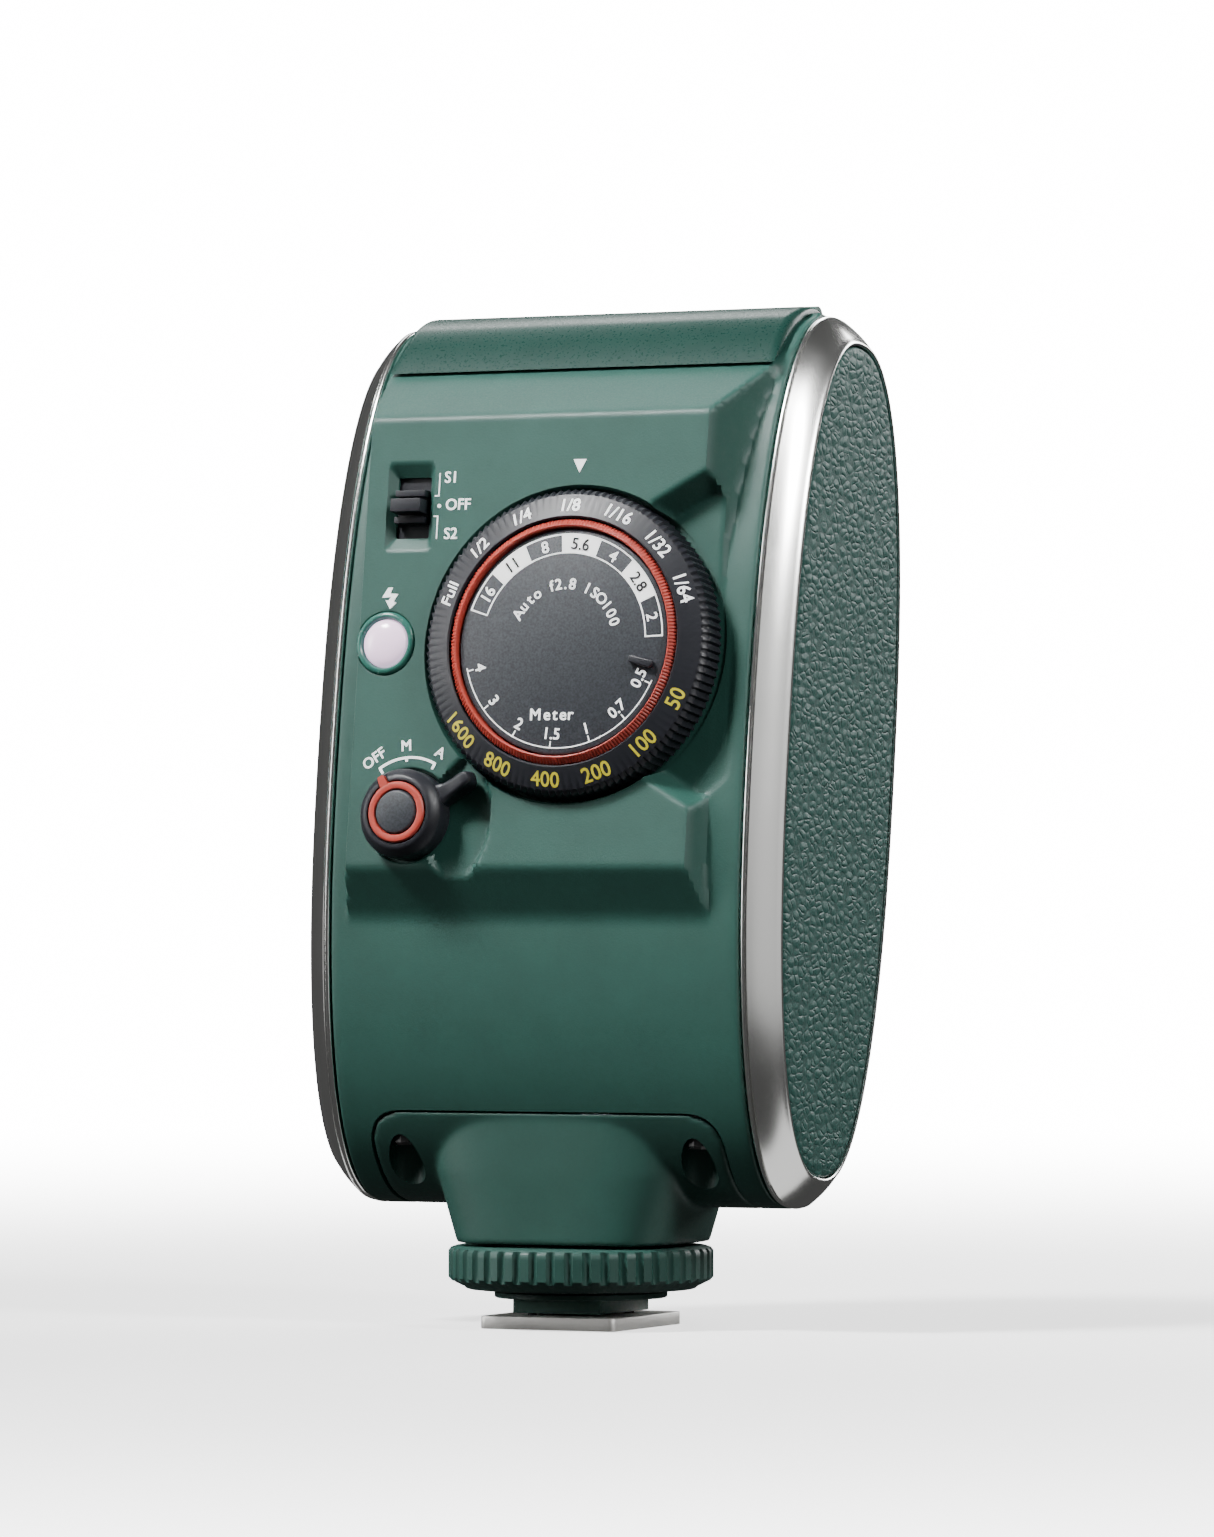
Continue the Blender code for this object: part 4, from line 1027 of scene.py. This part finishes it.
def sensor_lens():
    """Domed window of the light sensor on the front."""
    lens = [(0, 10.6), (1.1, 10.5), (1.6, 10.2), (1.9, 9.8), (2.0, 9.3), (2.0, 0), (0, 0)]
    space = facing_front((0, SENSOR_HEIGHT), 3.2)
    lens = revolve(lens, 64)
    piece("sensor_window_lens", lens, SENSOR, "housing", ["sensor_window"], space)


# ---- prints

def glyphs(text, height):
    """A centred word as a thin mesh in x and y, its capitals as tall as height.

    Four shifted copies, each a hair above the last, thicken the strokes.
    """
    curve = bpy.data.curves.new("word", "FONT")
    curve.body = text
    curve.align_x = "CENTER"
    curve.size = height / 0.72
    curve.extrude = PRINT_THICKNESS
    curve.offset = -0.006 * height
    curve.resolution_u = 3
    holder = bpy.data.objects.new("word", curve)
    bpy.context.scene.collection.objects.link(holder)
    bpy.context.view_layer.update()
    graph = bpy.context.evaluated_depsgraph_get()
    mesh = bpy.data.meshes.new_from_object(holder.evaluated_get(graph))
    bpy.data.objects.remove(holder)
    copies = []
    for i, (right, up) in enumerate(((-1, -1), (1, -1), (1, 1), (-1, 1))):
        offset = shift(right * STROKE_GROWTH, up * STROKE_GROWTH - height / 2, i * STROKE_STEP)
        copies.append(moved(mesh.copy(), offset))
    return merged(copies)


def shift(x, y, z=0.0):
    return Matrix.Translation((x, y, z))


def on_cone(mesh):
    """Drops a flat print onto the power dial's sloping face."""
    (inner, high), (outer, low) = CONE
    for vertex in mesh.vertices:
        radius = math.hypot(vertex.co.x, vertex.co.y)
        vertex.co.z += high + (inner - radius) * (high - low) / (outer - inner)
    return mesh


def round_word(text, height, radius, angle, inward=False):
    """A word on a circle. Its top points outward, or to the centre if inward."""
    around = math.radians(angle)
    turn = around + (math.pi / 2 if inward else -math.pi / 2)
    spot = shift(radius * math.cos(around), radius * math.sin(around))
    return moved(glyphs(text, height), spot @ Matrix.Rotation(turn, 4, "Z"))


def spaced_word(text, height, radius, start, stop):
    """Letters set one by one along an arc."""
    step = (stop - start) / (len(text) - 1)
    return [round_word(letter, height, radius, start + step * i) for i, letter in enumerate(text)]


def flat_mark(outline):
    return plate(outline, -PRINT_THICKNESS, PRINT_THICKNESS)


def arc_band(inner, outer, start, stop, steps=None):
    """A flat band of a circle as a thin solid."""
    count = steps or max(2, int(abs(stop - start) / 2))
    corners = [(inner, -1), (outer, -1), (outer, 1), (inner, 1)]
    rows = []
    for i in range(count + 1):
        angle = math.radians(start + (stop - start) * i / count)
        c, s = math.cos(angle), math.sin(angle)
        rows.append([(r * c, r * s, side * PRINT_THICKNESS) for r, side in corners])
    return skin(rows)


def tick(inner, outer, angle, half):
    """A short radial stroke, half as wide as twice the angle half."""
    return arc_band(inner, outer, angle - half, angle + half, steps=2)


def print_piece(name, meshes, ink, body, space, lift=0.0):
    piece(name, moved(merged(meshes), shift(0, 0, lift)), ink, body, (), space)


def dial_prints():
    """Power levels in white and film speeds in yellow."""
    space = facing_out(DIAL)
    white, yellow = [], []
    for i, text in enumerate(("Full", "1/2", "1/4", "1/8", "1/16", "1/32", "1/64")):
        white.append(on_cone(round_word(text, 1.65, 17.25, 158.5 - 22.7 * i)))
    for i, text in enumerate(("50", "100", "200", "400", "800", "1600")):
        yellow.append(on_cone(round_word(text, 1.9, 17.25, -25 - 23.2 * i, inward=True)))
    print_piece("dial_power_values", white, WHITE_INK_GLOWING, "dial", space)
    print_piece("dial_film_speeds", yellow, YELLOW_INK, "dial", space)


def aperture_band():
    """Cells of the aperture band, every second one filled, as white and dark meshes."""
    low, high = BAND
    end = 2
    white = [arc_band(high - 0.2, high, BAND_START, end), arc_band(low, low + 0.18, BAND_START, end)]
    dark = []
    for i in range(8):
        white.append(tick(low, high, BAND_START - BAND_CELL * i, 0.45))
    for i, text in enumerate(("16", "11", "8", "5.6", "4", "2.8", "2")):
        angle = BAND_START - BAND_CELL * (i + 0.5)
        word = round_word(text, 1.5, sum(BAND) / 2, angle)
        if i % 2:
            white.append(arc_band(low + 0.1, high - 0.1, angle + 11.2, angle - 11.2))
            dark.append(moved(word, shift(0, 0, LIFTED_INK)))
        else:
            white.append(word)
    return white, dark


def disc_prints():
    """Aperture band, distance scale and words of the calculator disc, and its finger bar."""
    space = facing_out(DIAL)
    white, dark = aperture_band()
    for text, start, stop in (("Auto", 151, 123), ("f2.8", 106, 83), ("ISO100", 66, 19)):
        white += spaced_word(text, 1.4, 7.3, start, stop)
    for letter, across in zip("Meter", (-3.2, -1.6, -0.5, 0.6, 1.6)):
        white.append(moved(glyphs(letter, 1.5), shift(across, -9.1)))
    white.append(arc_band(SCALE_RADIUS - 0.15, SCALE_RADIUS, -166, -22))
    for i, text in enumerate(("4", "3", "2", "1.5", "1", "0.7", "0.5")):
        angle = -164.4 + 23.4 * i
        white.append(tick(SCALE_RADIUS - 0.9, SCALE_RADIUS - 0.1, angle, 0.35))
        white.append(round_word(text, 1.45, 11.55, angle, inward=True))
    print_piece("disc_scale_white", white, WHITE_INK_GLOWING, "calculator", space, DISC_FACE)
    print_piece("disc_scale_black", dark, BLACK_INK, "calculator", space, DISC_FACE)
    bar = bevelled(plate(rectangle(-1.7, 1.7, -0.5, 0.5, 0.5, 4), DISC_FACE - 0.1, DISC_FACE + 0.8), 0.2)
    bar = moved(bar, Matrix.Rotation(math.radians(-14), 4, "Z") @ shift(11.3, 0))
    piece("disc_finger_bar", bar, BLACK, "calculator", (), space)


def panel_prints():
    """Index mark over the dial, and the labels of the slider, button and mode lever."""
    space = facing_out((0, 0))
    marks = [flat_mark([(3.9, 34.6), (5.7, 34.6), (4.8, 32.9)])]
    x, z = SLIDER[0] + 5.0, SLIDER[1]
    for text, rise in (("S1", 3.7), ("OFF", 0.2), ("S2", -3.5)):
        word = glyphs(text, 1.45)
        wide = max(v.co.x for v in word.vertices)
        marks.append(moved(word, shift(x + wide, z + rise)))
    for side in (-1, 1):
        end = side * 1.3
        low, high = sorted((end, side * 4.2))
        marks.append(flat_mark(rectangle(x - 1.1, x - 0.95, z + low, z + high)))
        marks.append(flat_mark(rectangle(x - 1.6, x - 0.95, z + end - 0.08, z + end + 0.08)))
    marks.append(moved(tube(0.25, -PRINT_THICKNESS, PRINT_THICKNESS, sides=20), shift(x - 0.9, z)))
    bolt = [
        (-0.33, 1.34), (0.33, 1.34), (0.0, 0.6), (1.11, 0.5), (0.5, -0.45), (0.92, -0.6), (0.08, -1.39),
        (-0.64, -0.23), (-0.19, -0.3), (0.19, 0.15), (-1.11, 0.08),
    ]
    marks.append(moved(flat_mark(bolt), shift(BUTTON[0] + 0.3, BUTTON[1] + 5.75)))
    knob = shift(*MODE)
    marks.append(moved(arc_band(7.2, 7.52, 126.5, 62), knob))
    for angle, text, drop in ((125.5, "OFF", 6.55), (95, "M", 6.85), (63, "A", 6.55)):
        marks.append(moved(tick(drop, 7.3, angle, 1.4), knob))
        marks.append(moved(round_word(text, 1.4, 8.95, angle), knob))
    print_piece("panel_marks", marks, WHITE_INK_GLOWING, "housing", space, PRINT_THICKNESS)


def repaint():
    """Finishes of the CAD nodes that stay in view."""
    finishes = {
        BOARD: ["control_board", "power_board"],
        CELL: ["battery_pack"],
        COPPER: ["inverter_transformer", "trigger_coil"],
        BLACK_INSIDE: [
            "flash_capacitor", "dial_encoder", "mode_switch", "test_switch", "slide_switch",
            "foot_insulator", "fan_hub",
        ],
        STEEL: [
            "usb_port", "sync_socket", "chassis_screw_1", "chassis_screw_2", "contact_pin", "hinge_pin",
        ],
        BLACKENED: ["pedestal_screw_1", "pedestal_screw_2", "foot_screw_1", "foot_screw_2"],
        CLEAR: ["flash_tube"],
    }
    for material, names in finishes.items():
        for name in names:
            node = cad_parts[name]
            node.data.materials.clear()
            node.data.materials.append(material)


# ---- studio

def area_light(name, place, target, size, power, beam=180):
    """A rectangular lamp that faces a target, in metres and watts. It shines into a beam in degrees."""
    light = bpy.data.lights.new(name, "AREA")
    light.spread = math.radians(beam)
    light.shape = "RECTANGLE"
    light.size, light.size_y = size
    light.energy = power
    made = bpy.data.objects.new(name, light)
    bpy.context.scene.collection.objects.link(made)
    made.location = place
    made.rotation_mode = "QUATERNION"
    made.rotation_quaternion = (Vector(target) - Vector(place)).to_track_quat("-Z", "Y")
    return made


def sweep():
    """White paper all round the object: a floor that curves up to a wall and glows toward its rim."""
    made, shader = blank("white_sweep", (0.8, 0.8, 0.8), 0.7)
    place = wire(made, "ShaderNodeTexCoord")
    far = wire(made, "ShaderNodeVectorMath", [(0, place, "Object")], operation="LENGTH")
    glow = spread(made, far, "Value", *SWEEP_GLOW_SPAN, *SWEEP_GLOW)
    glow.interpolation_type = "SMOOTHSTEP"
    made.node_tree.links.new(glow.outputs["Result"], shader.inputs["Emission Strength"])
    shader.inputs["Emission Color"].default_value = (1, 1, 1, 1)
    line = [(0.0, 0.0), (SWEEP_FLOOR, 0.0)]
    for t in np.linspace(0, math.pi / 2, 17)[1:]:
        line.append((SWEEP_FLOOR + SWEEP_BEND * math.sin(t), SWEEP_BEND * (1 - math.cos(t))))
    line.append((SWEEP_FLOOR + SWEEP_BEND, SWEEP_HEIGHT))
    mesh = revolve(line, 96)
    mesh.shade_smooth()
    paper = bpy.data.objects.new("sweep", mesh)
    bpy.context.scene.collection.objects.link(paper)
    paper.data.materials.append(made)
    paper.visible_diffuse = False
    paper.visible_glossy = False


def studio():
    """Soft key from the upper left, a strip on the right, and weak lights over the top and behind.

    The two cards only show in reflections.
    """
    sweep()
    world = bpy.data.worlds.new("studio")
    world.use_nodes = True
    world.node_tree.nodes["Background"].inputs["Color"].default_value = (1, 1, 1, 1)
    world.node_tree.nodes["Background"].inputs["Strength"].default_value = WORLD_GLOW
    bpy.context.scene.world = world
    area_light("key", (-0.4, -0.44, 0.85), (0, 0, 0.112), (0.26, 0.26), 0.55, 22)
    area_light("left", (-0.8, -0.45, 0.3), (0, 0, 0.07), (0.25, 0.5), 0.3, 40)
    area_light("strip", (0.75, -0.26, 0.66), (0, 0, 0.13), (0.15, 0.5), 0.5, 36)
    area_light("top", (-0.46, 0.66, 0.85), (0, 0, 0.12), (0.6, 0.22), 0.16, 40)
    area_light("back", (0.4, 0.9, 0.5), (0, 0, 0.08), (0.5, 0.5), 1.2, 60)
    for name, place, power in (("card", (0.8, -0.36, 0.16), 0.5), ("low_card", (0.35, 0.08, -0.35), 0.8)):
        card = area_light(name, place, (0, 0, 0.08), (0.5, 0.5), power)
        card.visible_diffuse = False


def camera():
    """Level camera to the right of the control side, tipped up a little."""
    data = bpy.data.cameras.new("camera")
    data.sensor_width = 36.0
    data.lens = CAMERA_LENS
    data.clip_start = 0.05
    data.clip_end = 30
    made = bpy.data.objects.new("camera", data)
    bpy.context.scene.collection.objects.link(made)
    across, back = math.sin(CAMERA_TURN), -math.cos(CAMERA_TURN)
    made.location = (across * CAMERA_DISTANCE, back * CAMERA_DISTANCE, CAMERA_HEIGHT)
    made.rotation_euler = (math.pi / 2 + CAMERA_PITCH, 0, CAMERA_TURN - CAMERA_YAW)
    bpy.context.scene.camera = made


camera()
studio()
rear_casing()
front_chassis()
top_cap()
pedestal()
side_trim(1, "right")
side_trim(-1, "left")
power_dial()
calculator()
mode_control()
slider()
test_button()
lock_ring()
foot()
head_cover()
for leaf in range(1, LEAF_COUNT + 1):
    fan_leaf(leaf)
lamp()
sensor_lens()
dial_prints()
disc_prints()
panel_prints()
repaint()
